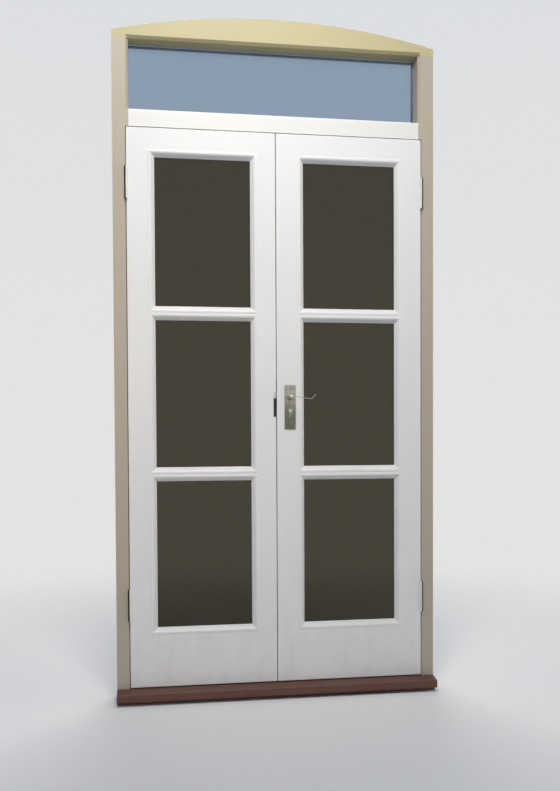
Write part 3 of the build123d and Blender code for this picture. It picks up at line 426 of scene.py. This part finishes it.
paints = {
    "leafUpright": {"Colour": (0.78, 0.775, 0.755), "Soil And Shade": (0.52, 0.49, 0.44),
                    "Stretch": upright, "Soil And Shade Amount": 0.40, "Gloss": 0.34},
    "leafLevel": {"Colour": (0.78, 0.775, 0.755), "Soil And Shade": (0.52, 0.49, 0.44),
                  "Stretch": level, "Soil And Shade Amount": 0.40, "Gloss": 0.34},
    # The jambs' paint is set far darker than the leaves' white: partly weathered paint, partly
    # painted shade.
    "jambPaintShaded": {"Colour": (0.44, 0.385, 0.30), "Soil And Shade": (0.42, 0.37, 0.30),
                  "Stretch": upright, "Soil And Shade Amount": 0.75, "Gloss": 0.42},
    "transomPaint": {"Colour": (0.76, 0.75, 0.72), "Soil And Shade": (0.50, 0.47, 0.41),
                     "Stretch": level, "Soil And Shade Amount": 0.4, "Gloss": 0.36},
    # The head's paint is set darker and yellower than the leaves' white: painted shade and painted
    # greenish reflected light.
    "headPaintShaded": {"Colour": (0.50, 0.44, 0.24), "Soil And Shade": (0.36, 0.33, 0.21),
                  "Stretch": level, "Soil And Shade Amount": 1.0, "Gloss": 0.50},
    "sillPaint": {"Colour": (0.105, 0.038, 0.022), "Soil And Shade": (0.13, 0.080, 0.050),
                  "Stretch": level, "Soil And Shade Amount": 0.60, "Gloss": 0.42},
}
paint = {name: paintMaterial(name, values, paintBump) for name, values in paints.items()}

# Each metal's values, and the strength of its bump
metals = {
    "handleMetal": ({"Colour": (0.38, 0.38, 0.31), "Tarnish": (0.17, 0.17, 0.12),
                     "Stretch": (30.0, 30.0, 900.0), "Tarnish Amount": 0.7, "Gloss": 0.22}, 0.25),
    "leverMetal": ({"Colour": (0.45, 0.44, 0.37), "Tarnish": (0.22, 0.22, 0.17),
                    "Stretch": (300.0, 60.0, 300.0), "Tarnish Amount": 0.5, "Gloss": 0.27}, 0.15),
    # The plug is set much lighter than the cylinder's body: a painted highlight on its face.
    "plugHighlightMetal": ({"Colour": (0.66, 0.67, 0.58), "Tarnish": (0.30, 0.31, 0.23),
                   "Stretch": (600.0, 600.0, 600.0), "Tarnish Amount": 0.4, "Gloss": 0.22}, 0.15),
    "cylinderMetal": ({"Colour": (0.30, 0.32, 0.22), "Tarnish": (0.13, 0.14, 0.08),
                       "Stretch": (400.0, 400.0, 400.0), "Tarnish Amount": 0.5, "Gloss": 0.25},
                      0.2),
    "lockSteel": ({"Colour": (0.56, 0.56, 0.55), "Tarnish": (0.27, 0.26, 0.25),
                   "Stretch": (500.0, 500.0, 30.0), "Tarnish Amount": 0.45, "Gloss": 0.30}, 0.2),
    "screwSteel": ({"Colour": (0.50, 0.49, 0.46), "Tarnish": (0.22, 0.20, 0.18),
                    "Stretch": (700.0, 700.0, 700.0), "Tarnish Amount": 0.6, "Gloss": 0.30}, 0.2),
    "spacerMetal": ({"Colour": (0.66, 0.67, 0.68), "Tarnish": (0.50, 0.50, 0.50),
                     "Stretch": (20.0, 600.0, 20.0), "Tarnish Amount": 0.3, "Gloss": 0.35}, 0.1),
}
metal = {name: metalMaterial(name, values, bump) for name, (values, bump) in metals.items()}


# The hinges: dark steel, with the half of the barrel beside the leaf painted with the leaf
hingeLook = {
    "steel": {"Colour": (0.050, 0.036, 0.028), "Tarnish": (0.026, 0.019, 0.016),
              "Stretch": (500.0, 500.0, 40.0), "Tarnish Amount": 0.8, "Gloss": 0.42},
    "axisX": axisOf["right_leaf_swing"][0],
    "bump": 0.3,
}


def hingeMaterial():
    material, tree, shader = newMaterial("hingeFinish")
    steel = placeGroup(tree, metalGroup, hingeLook["steel"])
    coat = placeGroup(tree, paintGroup, paints["leafUpright"])
    place = tree.nodes.new("ShaderNodeTexCoord")
    split = tree.nodes.new("ShaderNodeSeparateXYZ")
    tree.links.new(place.outputs["Object"], split.inputs[0])
    across = mathNode(tree, "ABSOLUTE", split.outputs["X"])
    leafHalf = mathNode(tree, "LESS_THAN", across, hingeLook["axisX"])
    barrel = mathNode(tree, "LESS_THAN", split.outputs["Y"], 0.0)
    painted = mathNode(tree, "MULTIPLY", leafHalf, barrel)
    colour = mixColours(tree, painted, steel.outputs["Colour"], coat.outputs["Colour"])
    tree.links.new(colour, shader.inputs["Base Color"])
    tree.links.new(mathNode(tree, "SUBTRACT", 1.0, painted), shader.inputs["Metallic"])
    tree.links.new(steel.outputs["Roughness"], shader.inputs["Roughness"])
    addBump(tree, shader, steel.outputs["Height"], bumpDistance["metal"], hingeLook["bump"])
    return material


# The backplates: lighter at the top and darker lower down, a painted reflection of the bright sky
# above; the metal also tarnishes in patches
plateLook = {
    "upper": {"Colour": (0.46, 0.46, 0.39), "Tarnish": (0.24, 0.24, 0.19),
              "Stretch": (30.0, 30.0, 900.0), "Tarnish Amount": 0.6, "Gloss": 0.24},
    "lowerShadeTone": (0.42, 0.43, 0.37),
    "from": (leverZ - 75.0) * mm,
    "to": (leverZ + 20.0) * mm,
    "bump": 0.25,
}


def plateMaterial():
    material, tree, shader = newMaterial("backplateFinish")
    skin = placeGroup(tree, metalGroup, plateLook["upper"])
    place = tree.nodes.new("ShaderNodeTexCoord")
    split = tree.nodes.new("ShaderNodeSeparateXYZ")
    tree.links.new(place.outputs["Object"], split.inputs[0])
    # lighter towards the top, darker below: painted reflection of the bright sky
    high = rangeNode(tree, split.outputs["Z"], plateLook["from"], plateLook["to"])
    tone = mixColours(tree, high, plateLook["lowerShadeTone"], (1.0, 1.0, 1.0))
    tree.links.new(multiplied(tree, tone, skin.outputs["Colour"]), shader.inputs["Base Color"])
    tree.links.new(skin.outputs["Roughness"], shader.inputs["Roughness"])
    shader.inputs["Metallic"].default_value = 1.0
    addBump(tree, shader, skin.outputs["Height"], bumpDistance["metal"], plateLook["bump"])
    return material


# The keep: a painted highlight at the top beside the latch, and painted shade below it
keepLook = {
    "bright": (0.62, 0.62, 0.64),
    "dark": (0.035, 0.042, 0.055),
    "brightFrom": (leverZ - 5.0) * mm,
    "brightTo": (leverZ - 1.5) * mm,
    "skin": {"Colour": (1.0, 1.0, 1.0), "Tarnish": (0.55, 0.55, 0.55),
             "Stretch": (500.0, 500.0, 40.0), "Tarnish Amount": 0.5, "Gloss": 0.30},
    "bump": 0.2,
}


def keepMaterial():
    material, tree, shader = newMaterial("keepFinish")
    skin = placeGroup(tree, metalGroup, keepLook["skin"])
    place = tree.nodes.new("ShaderNodeTexCoord")
    split = tree.nodes.new("ShaderNodeSeparateXYZ")
    tree.links.new(place.outputs["Object"], split.inputs[0])
    # painted highlight above, painted shade below
    high = rangeNode(tree, split.outputs["Z"], keepLook["brightFrom"], keepLook["brightTo"])
    tone = mixColours(tree, high, keepLook["dark"], keepLook["bright"])
    tree.links.new(multiplied(tree, tone, skin.outputs["Colour"]), shader.inputs["Base Color"])
    tree.links.new(skin.outputs["Roughness"], shader.inputs["Roughness"])
    shader.inputs["Metallic"].default_value = 1.0
    addBump(tree, shader, skin.outputs["Height"], bumpDistance["metal"], keepLook["bump"])
    return material


# Glass: tinted dark olive in the leaves, a painted shade and painted reflection of foliage, and
# pale blue in the fanlight, a painted reflection of the sky; both with slight waves
glassLook = {
    "doorShadeAndReflectionTint": (0.180, 0.158, 0.088),
    "fanlightSkyReflectionTint": (0.57, 0.65, 0.74),
    "roughness": 0.012,
    "ior": 1.52,
    "waveScale": 3.2,
    "waveDistance": 0.35 * mm,
    "waveStrength": 0.25,
}


def glassMaterial(name, tint):
    material, tree, shader = newMaterial(name)
    shader.inputs["Base Color"].default_value = (*tint, 1)
    shader.inputs["Metallic"].default_value = 0.0
    shader.inputs["Roughness"].default_value = glassLook["roughness"]
    shader.inputs["IOR"].default_value = glassLook["ior"]
    shader.inputs["Transmission Weight"].default_value = 1.0
    place = tree.nodes.new("ShaderNodeTexCoord").outputs["Object"]
    waves = noiseNode(tree, place, glassLook["waveScale"], 1.0)
    addBump(tree, shader, waves, glassLook["waveDistance"], glassLook["waveStrength"])
    return material


# Rubber of the seals, with dust in patches
rubberLook = {
    "colour": (0.030, 0.030, 0.031),
    "dust": (0.12, 0.115, 0.105),
    "patchScale": 60.0,
    "dustRange": (0.45, 0.75),
    "dustMost": 0.6,
    "roughness": (0.62, 0.85),
    "roughnessRange": (0.2, 0.8),
    "bump": 0.3,
}


def rubberMaterial():
    r = rubberLook
    material, tree, shader = newMaterial("sealRubber")
    place = tree.nodes.new("ShaderNodeTexCoord").outputs["Object"]
    patches = noiseNode(tree, place, r["patchScale"], 4.0)
    dusty = rangeNode(tree, patches, *r["dustRange"], 0.0, r["dustMost"])
    tree.links.new(mixColours(tree, dusty, r["colour"], r["dust"]), shader.inputs["Base Color"])
    tree.links.new(rangeNode(tree, patches, *r["roughnessRange"], *r["roughness"]),
                   shader.inputs["Roughness"])
    addBump(tree, shader, patches, bumpDistance["rubber"], r["bump"])
    return material


hingeFinish = hingeMaterial()
plateFinish = plateMaterial()
keepFinish = keepMaterial()
doorGlass = glassMaterial("doorGlass", glassLook["doorShadeAndReflectionTint"])
fanlightGlass = glassMaterial("fanlightGlass", glassLook["fanlightSkyReflectionTint"])
sealRubber = rubberMaterial()
print("materials built")


# Which finish each kept CAD node gets
def finishOf(name):
    if name.endswith("_glass"):
        return fanlightGlass if name.startswith("fanlight") else doorGlass
    if "spacer" in name:
        return metal["spacerMetal"]
    if "seal" in name:
        return sealRubber
    if "hinge_plates" in name:
        return hingeFinish
    if "backplate" in name:
        return plateFinish
    if name == "cylinder_body":
        return metal["cylinderMetal"]
    if name == "cylinder_plug":
        return metal["plugHighlightMetal"]
    if name == "lock_keep":
        return keepFinish
    if "bolt" in name or name.startswith("lock_") or name == "spindle":
        return metal["lockSteel"]
    if name == "sill":
        return paint["sillPaint"]
    if name == "head":
        return paint["headPaintShaded"]
    if name == "transom":
        return paint["transomPaint"]
    if name.startswith("jamb") or name == "fanlight_beads":
        return paint["jambPaintShaded"]
    if name.endswith("stile"):
        return paint["leafUpright"]
    return paint["leafLevel"]


for nodeName, node in nodes.items():
    node.data.materials.clear()
    node.data.materials.append(finishOf(nodeName))
print("CAD nodes finished")


# Meshes from arrays: a piece rides on its body and takes the finish it is given
def addPiece(name, points, faces, material, body, smooth=True):
    mesh = bpy.data.meshes.new(name)
    mesh.from_pydata(np.asarray(points, float).tolist(), [], [list(map(int, f)) for f in faces])
    mesh.validate()
    mesh.update()
    mesh.polygons.foreach_set("use_smooth", [smooth] * len(mesh.polygons))
    piece = bpy.data.objects.new(name, mesh)
    bpy.context.scene.collection.objects.link(piece)
    mesh.materials.append(material)
    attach(piece, body)
    return piece


# Turns all faces of a closed piece outwards
def orientFaces(piece):
    shape = bmesh.new()
    shape.from_mesh(piece.data)
    bmesh.ops.recalc_face_normals(shape, faces=shape.faces)
    shape.to_mesh(piece.data)
    shape.free()


# Catmull-Rom curve through all the points: between b and c, with neighbours a and d, it is half
# of 2b + (c - a) t + (2a - 5b + 4c - d) t squared + (3b - a - 3c + d) t cubed
def smoothLine(points, stepsEach):
    p = np.asarray(points, float)
    p = np.vstack([2 * p[0] - p[1], p, 2 * p[-1] - p[-2]])
    t = np.linspace(0, 1, stepsEach, endpoint=False)[:, None]
    spans = [0.5 * (2 * b + (c - a) * t + (2 * a - 5 * b + 4 * c - d) * t ** 2
                    + (3 * b - a - 3 * c + d) * t ** 3)
             for a, b, c, d in zip(p, p[1:], p[2:], p[3:])]
    return np.vstack(spans + [p[-2:-1]])


# Quads over a grid of rows by columns, joined up where a direction closes on itself: the corner
# in row r and column c is point r times cols plus c
def gridFaces(rows, cols, closeRows=False, closeCols=False):
    r = np.arange(rows if closeRows else rows - 1)
    c = np.arange(cols if closeCols else cols - 1)
    rr, cc = np.meshgrid(r, c, indexing="ij")
    nextR, nextC = (rr + 1) % rows, (cc + 1) % cols
    corners = (rr * cols + cc, rr * cols + nextC, nextR * cols + nextC, nextR * cols + cc)
    return np.stack([x.ravel() for x in corners], axis=1)


# A shell of rings: the rings in order, with a point that closes each end
def ringShell(rings, firstPole, lastPole):
    count, around, _ = rings.shape
    points = np.concatenate([rings.reshape(-1, 3), [firstPole], [lastPole]])
    faces = [list(f) for f in gridFaces(count, around, closeCols=True)]
    here = np.arange(around)
    there = (here + 1) % around
    first, last = count * around, count * around + 1
    faces += [[first, b, a] for a, b in zip(here, there)]
    top = (count - 1) * around
    faces += [[last, top + a, top + b] for a, b in zip(here, there)]
    return points, faces


glazing = {"cover": 10.0 * mm}  # how far a pane's glass runs behind the sight edge

# Fillet of sealant round a pane. Its section is a hollow quarter round: width times (1 - sin a)
# in from the sight edge and depth times (1 - cos a) out from the glass, as a goes from nothing
# to a right angle. It is carried round the four corners, where each point is set in by its own
# distance along X and along Z.
sealantLook = {"width": 0.45 * mm, "depth": 0.6 * mm, "lift": 0.05 * mm, "steps": 6}


def sealantRound(name, xs, zs, glassY, way, material, body):
    s = sealantLook
    turn = np.linspace(0, math.pi / 2, s["steps"])
    inward = np.append(s["width"] * (1 - np.sin(turn)), 0.0)
    out = np.append(s["depth"] * (1 - np.cos(turn)), 0.0)
    y = glassY + way * (out + s["lift"])
    rings = [np.stack([xs[cx] + (inward, -inward)[cx], y, zs[cz] + (inward, -inward)[cz]], axis=1)
             for cx, cz in ((0, 0), (1, 0), (1, 1), (0, 1))]
    faces = gridFaces(len(rings), len(out), closeRows=True, closeCols=True)
    addPiece(name, np.concatenate(rings), faces, material, body, smooth=False)


def addSealant():
    for nodeName in [n for n in nodes if n.endswith("_glass")]:
        low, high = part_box(nodeName)
        cover = glazing["cover"]
        xs, zs = (low.x + cover, high.x - cover), (low.z + cover, high.z - cover)
        body = "frame" if nodeName.startswith("fanlight") else nodeName.split("_")[0] + "_leaf"
        coat = paint["jambPaintShaded"] if body == "frame" else paint["leafLevel"]
        sealantRound(f"{nodeName}.outerSealant", xs, zs, low.y, -1, coat, body)
        sealantRound(f"{nodeName}.innerSealant", xs, zs, high.y, 1, coat, body)


addSealant()
print("sealant laid")


# Moulding round the outside of a pane, in four mitred lengths that lie over the timber's own.
# The section is given from the sight edge outwards and from the leaf's face inwards, in
# millimetres. Points along the front are joined by a Catmull-Rom curve; the back is buried.
moulding = {
    "front": [(23.6, 0.5), (23.5, -0.4), (22.4, -0.8), (20.3, -1.1), (17.3, -1.2), (14.2, -0.5),
              (10.8, 1.7), (7.4, 5.0), (4.4, 8.6), (2.1, 11.3), (0.5, 12.8), (-0.05, 14.3),
              (-0.05, 15.9)],
    "back": [(6.0, 14.8), (12.0, 9.5), (17.0, 5.0)],
    "heart": (14.0, 3.0),
    "stepsEach": 4,
    "mitreGap": 0.04,
    "sharpDegrees": 38,
}


# One mitred length: each end is the section, with every point carried on past the sight edge by
# its own reach less the mitre's gap, so that the ends meet the neighbours at 45 degrees. Across
# the length a point is its reach out from the sight edge, and its Y is its depth.
def mouldingLength(xs, zs, side):
    m = moulding
    section = np.vstack([smoothLine(m["front"], m["stepsEach"]), m["back"], [m["heart"]]])
    reach, depth = section[:, 0], section[:, 1]
    along = reach - m["mitreGap"]
    if side in ("low", "high"):
        cross = zs[0] - reach if side == "low" else zs[1] + reach
        ends = [(xs[0] - along, cross), (xs[1] + along, cross)]
    else:
        cross = xs[0] - reach if side == "left" else xs[1] + reach
        ends = [(cross, zs[0] - along), (cross, zs[1] + along)]
    rings = np.array([np.stack([x, depth, z], axis=1) for x, z in ends]) * mm
    return ringShell(rings[:, :-1], rings[0, -1], rings[1, -1])


def addMouldings():
    for leaf in ("left_leaf", "right_leaf"):
        for way, sides, coat in (("Rails", ("low", "high"), "leafLevel"),
                                 ("Uprights", ("left", "right"), "leafUpright")):
            allPoints, allFaces, count = [], [], 0
            for nodeName in [n for n in nodes if n.endswith("_glass") and n[:4] == leaf[:4]]:
                low, high = (Vector(c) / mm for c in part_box(nodeName))
                cover = glazing["cover"] / mm
                for side in sides:
                    points, faces = mouldingLength((low.x + cover, high.x - cover),
                                                   (low.z + cover, high.z - cover), side)
                    allPoints.append(points)
                    allFaces += [[i + count for i in f] for f in faces]
                    count += len(points)
            piece = addPiece(f"{leaf}.moulding{way}", np.concatenate(allPoints), allFaces,
                             paint[coat], leaf)
            orientFaces(piece)
            piece.data.set_sharp_from_angle(angle=math.radians(moulding["sharpDegrees"]))


addMouldings()
print("mouldings laid")


# Countersunk screw heads: a shallow dome on a polar grid, with a cross sunk into it. At the
# share s of the radius the height is rim + dome times (1 - s squared), less crossDepth times
# (1 - s / crossReach) and a step at its edge where the point lies in one of the cross's arms.
screwHead = {"rings": 14, "around": 48, "dome": 0.35 * mm, "rim": 0.25 * mm,
             "crossDepth": 0.9 * mm, "crossStep": 0.1 * mm, "crossHalf": 0.13,
             "crossReach": 0.62, "under": 0.3 * mm, "turnFirst": 0.3, "turnEach": 0.7}


def screwPoints(centre, normal, radius, turn):
    h = screwHead
    normal = Vector(normal)
    side = normal.orthogonal().normalized()
    other = normal.cross(side)
    share = np.linspace(0, 1, h["rings"] + 1)[1:]
    angle = np.linspace(0, 2 * math.pi, h["around"], endpoint=False)
    s, a = np.meshgrid(share, angle, indexing="ij")
    u, v = s * np.cos(a + turn), s * np.sin(a + turn)
    height = h["rim"] + h["dome"] * (1 - s ** 2)
    inCross = ((np.abs(u) < h["crossHalf"]) | (np.abs(v) < h["crossHalf"])) & (s < h["crossReach"])
    sunk = height - h["crossDepth"] * (1 - s / h["crossReach"]) - h["crossStep"]
    height = np.where(inCross, sunk, height)
    height = np.where(s >= 1, 0, height)
    flat = (s * radius)[..., None]
    spread = flat * (np.cos(a)[..., None] * np.array(side) + np.sin(a)[..., None] * np.array(other))
    points = np.array(centre) + spread + height[..., None] * np.array(normal)
    middle = np.array(centre) + np.array(normal) * (h["rim"] + h["dome"] - h["crossDepth"])
    under = np.array(centre) - np.array(normal) * h["under"]
    return ringShell(points, middle, under)


def addScrews(name, places, normal, radius, body, material=metal["screwSteel"]):
    allPoints, allFaces, count = [], [], 0
    for n, centre in enumerate(places):
        turn = screwHead["turnFirst"] + screwHead["turnEach"] * n
        points, faces = screwPoints([c * mm for c in centre], normal, radius * mm, turn)
        allPoints.append(points)
        allFaces += [[i + count for i in f] for f in faces]
        count += len(points)
    addPiece(name, np.concatenate(allPoints), allFaces, material, body)


# Where the screws are, in millimetres, worked out from the plates that they hold
hingeScrews = {"alongShares": (-0.36, -0.12, 0.12, 0.36), "depths": (20.0, 10.0), "radius": 3.6,
               "hingeHeight": 112.0, "jambFaceX": 538.25, "leafFaceX": 535.25}
plateScrews = {"inset": (6.0, 9.5), "radius": 2.9, "outerFaceY": -4.5, "innerFaceY": 48.5}
forendScrews = {"inset": 11.0, "radius": 3.4, "underCylinder": 23.0, "depth": 14.0}
keepScrews = {"underLever": (26.0, 7.0), "depth": 14.0, "radius": 2.8}
boltPlateScrews = {"sideInset": 3.6, "endInset": 24.0, "radius": 2.4, "plateThickness": 2.0}
boltKeepScrews = {"sideInset": 5.5, "radius": 2.2}


def addHingeScrews():
    for sideName, sign in (("left", -1), ("right", 1)):
        low, high = (Vector(c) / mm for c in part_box(f"{sideName}_hinge_plates"))
        jambX = hingeScrews["jambFaceX"] * sign
        leafX = hingeScrews["leafFaceX"] * sign
        tall = hingeScrews["hingeHeight"]
        spans = [(low.z, low.z + tall), (high.z - tall, high.z)]
        places = []
        for foot, top in spans:
            for n, share in enumerate(hingeScrews["alongShares"]):
                z = (foot + top) / 2 + share * (top - foot)
                places.append((hingeScrews["depths"][n % 2], z))
        addScrews(f"{sideName}LeafHingeScrews", [(leafX, y, z) for y, z in places],
                  (sign, 0, 0), hingeScrews["radius"], f"{sideName}_leaf")
        addScrews(f"{sideName}JambHingeScrews", [(jambX, y, z) for y, z in places],
                  (-sign, 0, 0), hingeScrews["radius"], "frame")


def addPlateScrews(node, faceY, normal):
    low, high = (Vector(c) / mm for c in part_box(node))
    dx, dz = plateScrews["inset"]
    places = [(x, faceY, z) for x in (low.x + dx, high.x - dx) for z in (low.z + dz, high.z - dz)]
    addScrews(f"{node}.screws", places, normal, plateScrews["radius"], "right_leaf",
              metal["handleMetal"])


def addLockScrews():
    low, high = (Vector(c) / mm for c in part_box("lock_forend"))
    y = forendScrews["depth"]
    levels = (low.z + forendScrews["inset"], high.z - forendScrews["inset"],
              cylinderZ - forendScrews["underCylinder"])
    addScrews("forendScrews", [(low.x, y, z) for z in levels], (-1, 0, 0),
              forendScrews["radius"], "right_leaf")
    low, high = (Vector(c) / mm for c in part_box("lock_keep"))
    places = [(high.x, keepScrews["depth"], leverZ - drop) for drop in keepScrews["underLever"]]
    addScrews("keepScrews", places, (1, 0, 0), keepScrews["radius"], "left_leaf")


def addBoltScrews():
    for name in ("top", "bottom"):
        low, high = (Vector(c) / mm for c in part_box(f"{name}_bolt_plate"))
        dx, dz = boltPlateScrews["sideInset"], boltPlateScrews["endInset"]
        faceY = low.y + boltPlateScrews["plateThickness"]
        places = [(x, faceY, z) for x in (low.x + dx, high.x - dx)
                  for z in (low.z + dz, high.z - dz)]
        addScrews(f"{name}BoltPlateScrews", places, (0, 1, 0), boltPlateScrews["radius"],
                  "left_leaf")
        low, high = (Vector(c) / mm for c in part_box(f"{name}_bolt_keep"))
        dx, y = boltKeepScrews["sideInset"], (low.y + high.y) / 2
        z, way = (low.z, -1) if name == "top" else (high.z, 1)
        addScrews(f"{name}BoltKeepScrews", [(low.x + dx, y, z), (high.x - dx, y, z)],
                  (0, 0, way), boltKeepScrews["radius"], "frame")


addHingeScrews()
addPlateScrews("outer_backplate", plateScrews["outerFaceY"], (0, -1, 0))
addPlateScrews("inner_backplate", plateScrews["innerFaceY"], (0, 1, 0))
addLockScrews()
addBoltScrews()
print("screws driven")


# Lever: an arm of oval section along a smooth line, and a turned hub, grown together as one
# casting. A point of the arm is the line's point, plus the line's normal times halfHeight times
# the sine of its angle, and Y plus halfDepth times the cosine; both halves shrink at the two
# ends as a circle does. A point of the hub is the axis plus the radius, turned by the angle.
lever = {
    "axis": (leverX, leverZ),
    "line": [(-3.0, 3.4), (8.0, 2.6), (18.0, 1.0), (30.0, -1.2), (44.0, -3.4), (58.0, -4.6),
             (68.5, -6.2), (74.0, -3.4), (79.0, 2.0), (83.5, 6.8), (86.8, 8.0), (90.0, 5.4)],
    "halfHeights": [6.6, 6.4, 5.8, 5.3, 5.0, 4.8, 4.7, 4.5, 4.2, 3.9, 3.5, 2.8],
    "halfDepths": [6.4, 6.4, 5.9, 5.5, 5.3, 5.2, 5.2, 5.0, 4.8, 4.4, 4.0, 3.4],
    "stepsEach": 12,
    "around": 40,
    "endSteps": 5,  # steps of the line in which an end closes
    "endLeast": 0.05,
    "armY": 46.2,  # middle of the arm, out from the leaf's face
    "outerFaceY": 0.0,
    "innerFaceY": 44.0,
    "hubFrom": 9.8,
    "hubStepsEach": 4,
    "hubLeast": 0.5,
    "tipRise": 0.3,
    "hub": [(0.0, 9.6), (1.2, 10.0), (3.4, 10.0), (4.6, 8.9), (8.0, 8.3), (24.0, 7.9),
            (31.0, 8.6), (36.5, 8.9), (39.9, 7.6), (41.3, 4.2)],
    "voxel": 0.55 * mm,
    "smoothing": 8,
}


def leverMesh(faceY, way):
    v = lever
    table = np.column_stack([v["line"], v["halfHeights"], v["halfDepths"]])
    path = smoothLine(table, v["stepsEach"])
    heading = np.gradient(path[:, :2], axis=0)
    heading /= np.linalg.norm(heading, axis=1)[:, None]
    across = np.column_stack([-heading[:, 1], heading[:, 0]])
    angle = np.linspace(0, 2 * math.pi, v["around"], endpoint=False)
    fromEnd = 1 - np.arange(len(path)) / v["endSteps"]
    swell = np.minimum(1, np.sqrt(np.clip(1 - fromEnd ** 2, v["endLeast"], 1)))
    swell = np.minimum(swell, swell[::-1])
    axisX, axisZ = v["axis"]
    x = path[:, 0:1] + across[:, 0:1] * (path[:, 2] * swell)[:, None] * np.sin(angle)
    z = path[:, 1:2] + across[:, 1:2] * (path[:, 2] * swell)[:, None] * np.sin(angle)
    y = v["armY"] + (path[:, 3] * swell)[:, None] * np.cos(angle)
    rings = np.stack([x + axisX, faceY + way * y, z + axisZ], axis=2)
    ends = [(path[i, 0] + axisX, faceY + way * v["armY"], path[i, 1] + axisZ) for i in (0, -1)]
    armPoints, armFaces = ringShell(rings * mm, np.array(ends[0]) * mm, np.array(ends[1]) * mm)
    fine = smoothLine(v["hub"], v["hubStepsEach"])
    out, radius = v["hubFrom"] + fine[:, 0:1], np.maximum(fine[:, 1:2], v["hubLeast"])
    hub = np.stack([axisX + radius * np.cos(angle), faceY + way * (out + 0 * angle),
                    axisZ + radius * np.sin(angle)], axis=2)
    foot = np.array((axisX, faceY + way * out[0, 0], axisZ))
    tip = np.array((axisX, faceY + way * (out[-1, 0] + v["tipRise"]), axisZ))
    hubPoints, hubFaces = ringShell(hub * mm, foot * mm, tip * mm)
    faces = armFaces + [[i + len(armPoints) for i in f] for f in hubFaces]
    return np.concatenate([armPoints, hubPoints]), faces


# Gives the casting one skin and soft inner corners
def growTogether(piece, voxel, smoothing):
    remesh = piece.modifiers.new("oneSkin", "REMESH")
    remesh.mode = "VOXEL"
    remesh.voxel_size = voxel
    soften = piece.modifiers.new("soften", "SMOOTH")
    soften.factor = 0.5
    soften.iterations = smoothing
    settled = bpy.data.meshes.new_from_object(
        piece.evaluated_get(bpy.context.evaluated_depsgraph_get()))
    piece.modifiers.clear()
    piece.data = settled
    settled.polygons.foreach_set("use_smooth", [True] * len(settled.polygons))


def addLever(name, faceY, way):
    points, faces = leverMesh(faceY, way)
    piece = addPiece(f"{name}Cast", points, faces, metal["leverMetal"], "lever")
    orientFaces(piece)
    growTogether(piece, lever["voxel"], lever["smoothing"])
    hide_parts(name)


addLever("outer_lever", lever["outerFaceY"], -1)
addLever("inner_lever", lever["innerFaceY"], 1)
print("levers cast")


# Floor: pale plaster near the doors, which fades into the backdrop's own colour far off
def addFloor(s):
    half = s["floorSize"] / 2
    mesh = bpy.data.meshes.new("floor")
    mesh.from_pydata([(-half, -half, 0), (half, -half, 0), (half, half, 0), (-half, half, 0)], [],
                     [(0, 1, 2, 3)])
    floor = bpy.data.objects.new("floor", mesh)
    bpy.context.scene.collection.objects.link(floor)
    material, tree, shader = newMaterial("palePlaster")
    place = tree.nodes.new("ShaderNodeTexCoord").outputs["Object"]
    broad = noiseNode(tree, place, s["floorPatchScale"], 3.0)
    tone = tuple(c * s["floorPatchTone"] for c in s["floorColour"])
    tree.links.new(mixColours(tree, broad, s["floorColour"], tone), shader.inputs["Base Color"])
    shader.inputs["Roughness"].default_value = s["floorRoughness"]
    away = tree.nodes.new("ShaderNodeVectorMath")
    away.operation = "LENGTH"
    tree.links.new(place, away.inputs[0])
    far = rangeNode(tree, away.outputs["Value"], *s["floorFade"])
    backdrop = tree.nodes.new("ShaderNodeEmission")
    backdrop.inputs["Color"].default_value = (*s["backdropLow"], 1)
    blend = tree.nodes.new("ShaderNodeMixShader")
    tree.links.new(mathNode(tree, "MULTIPLY", far, seenMask(tree)), blend.inputs[0])
    tree.links.new(shader.outputs[0], blend.inputs[1])
    tree.links.new(backdrop.outputs[0], blend.inputs[2])
    out = next(n for n in tree.nodes if n.type == "OUTPUT_MATERIAL")
    tree.links.new(blend.outputs[0], out.inputs["Surface"])
    mesh.materials.append(material)


addFloor(studio)
print("floor laid")
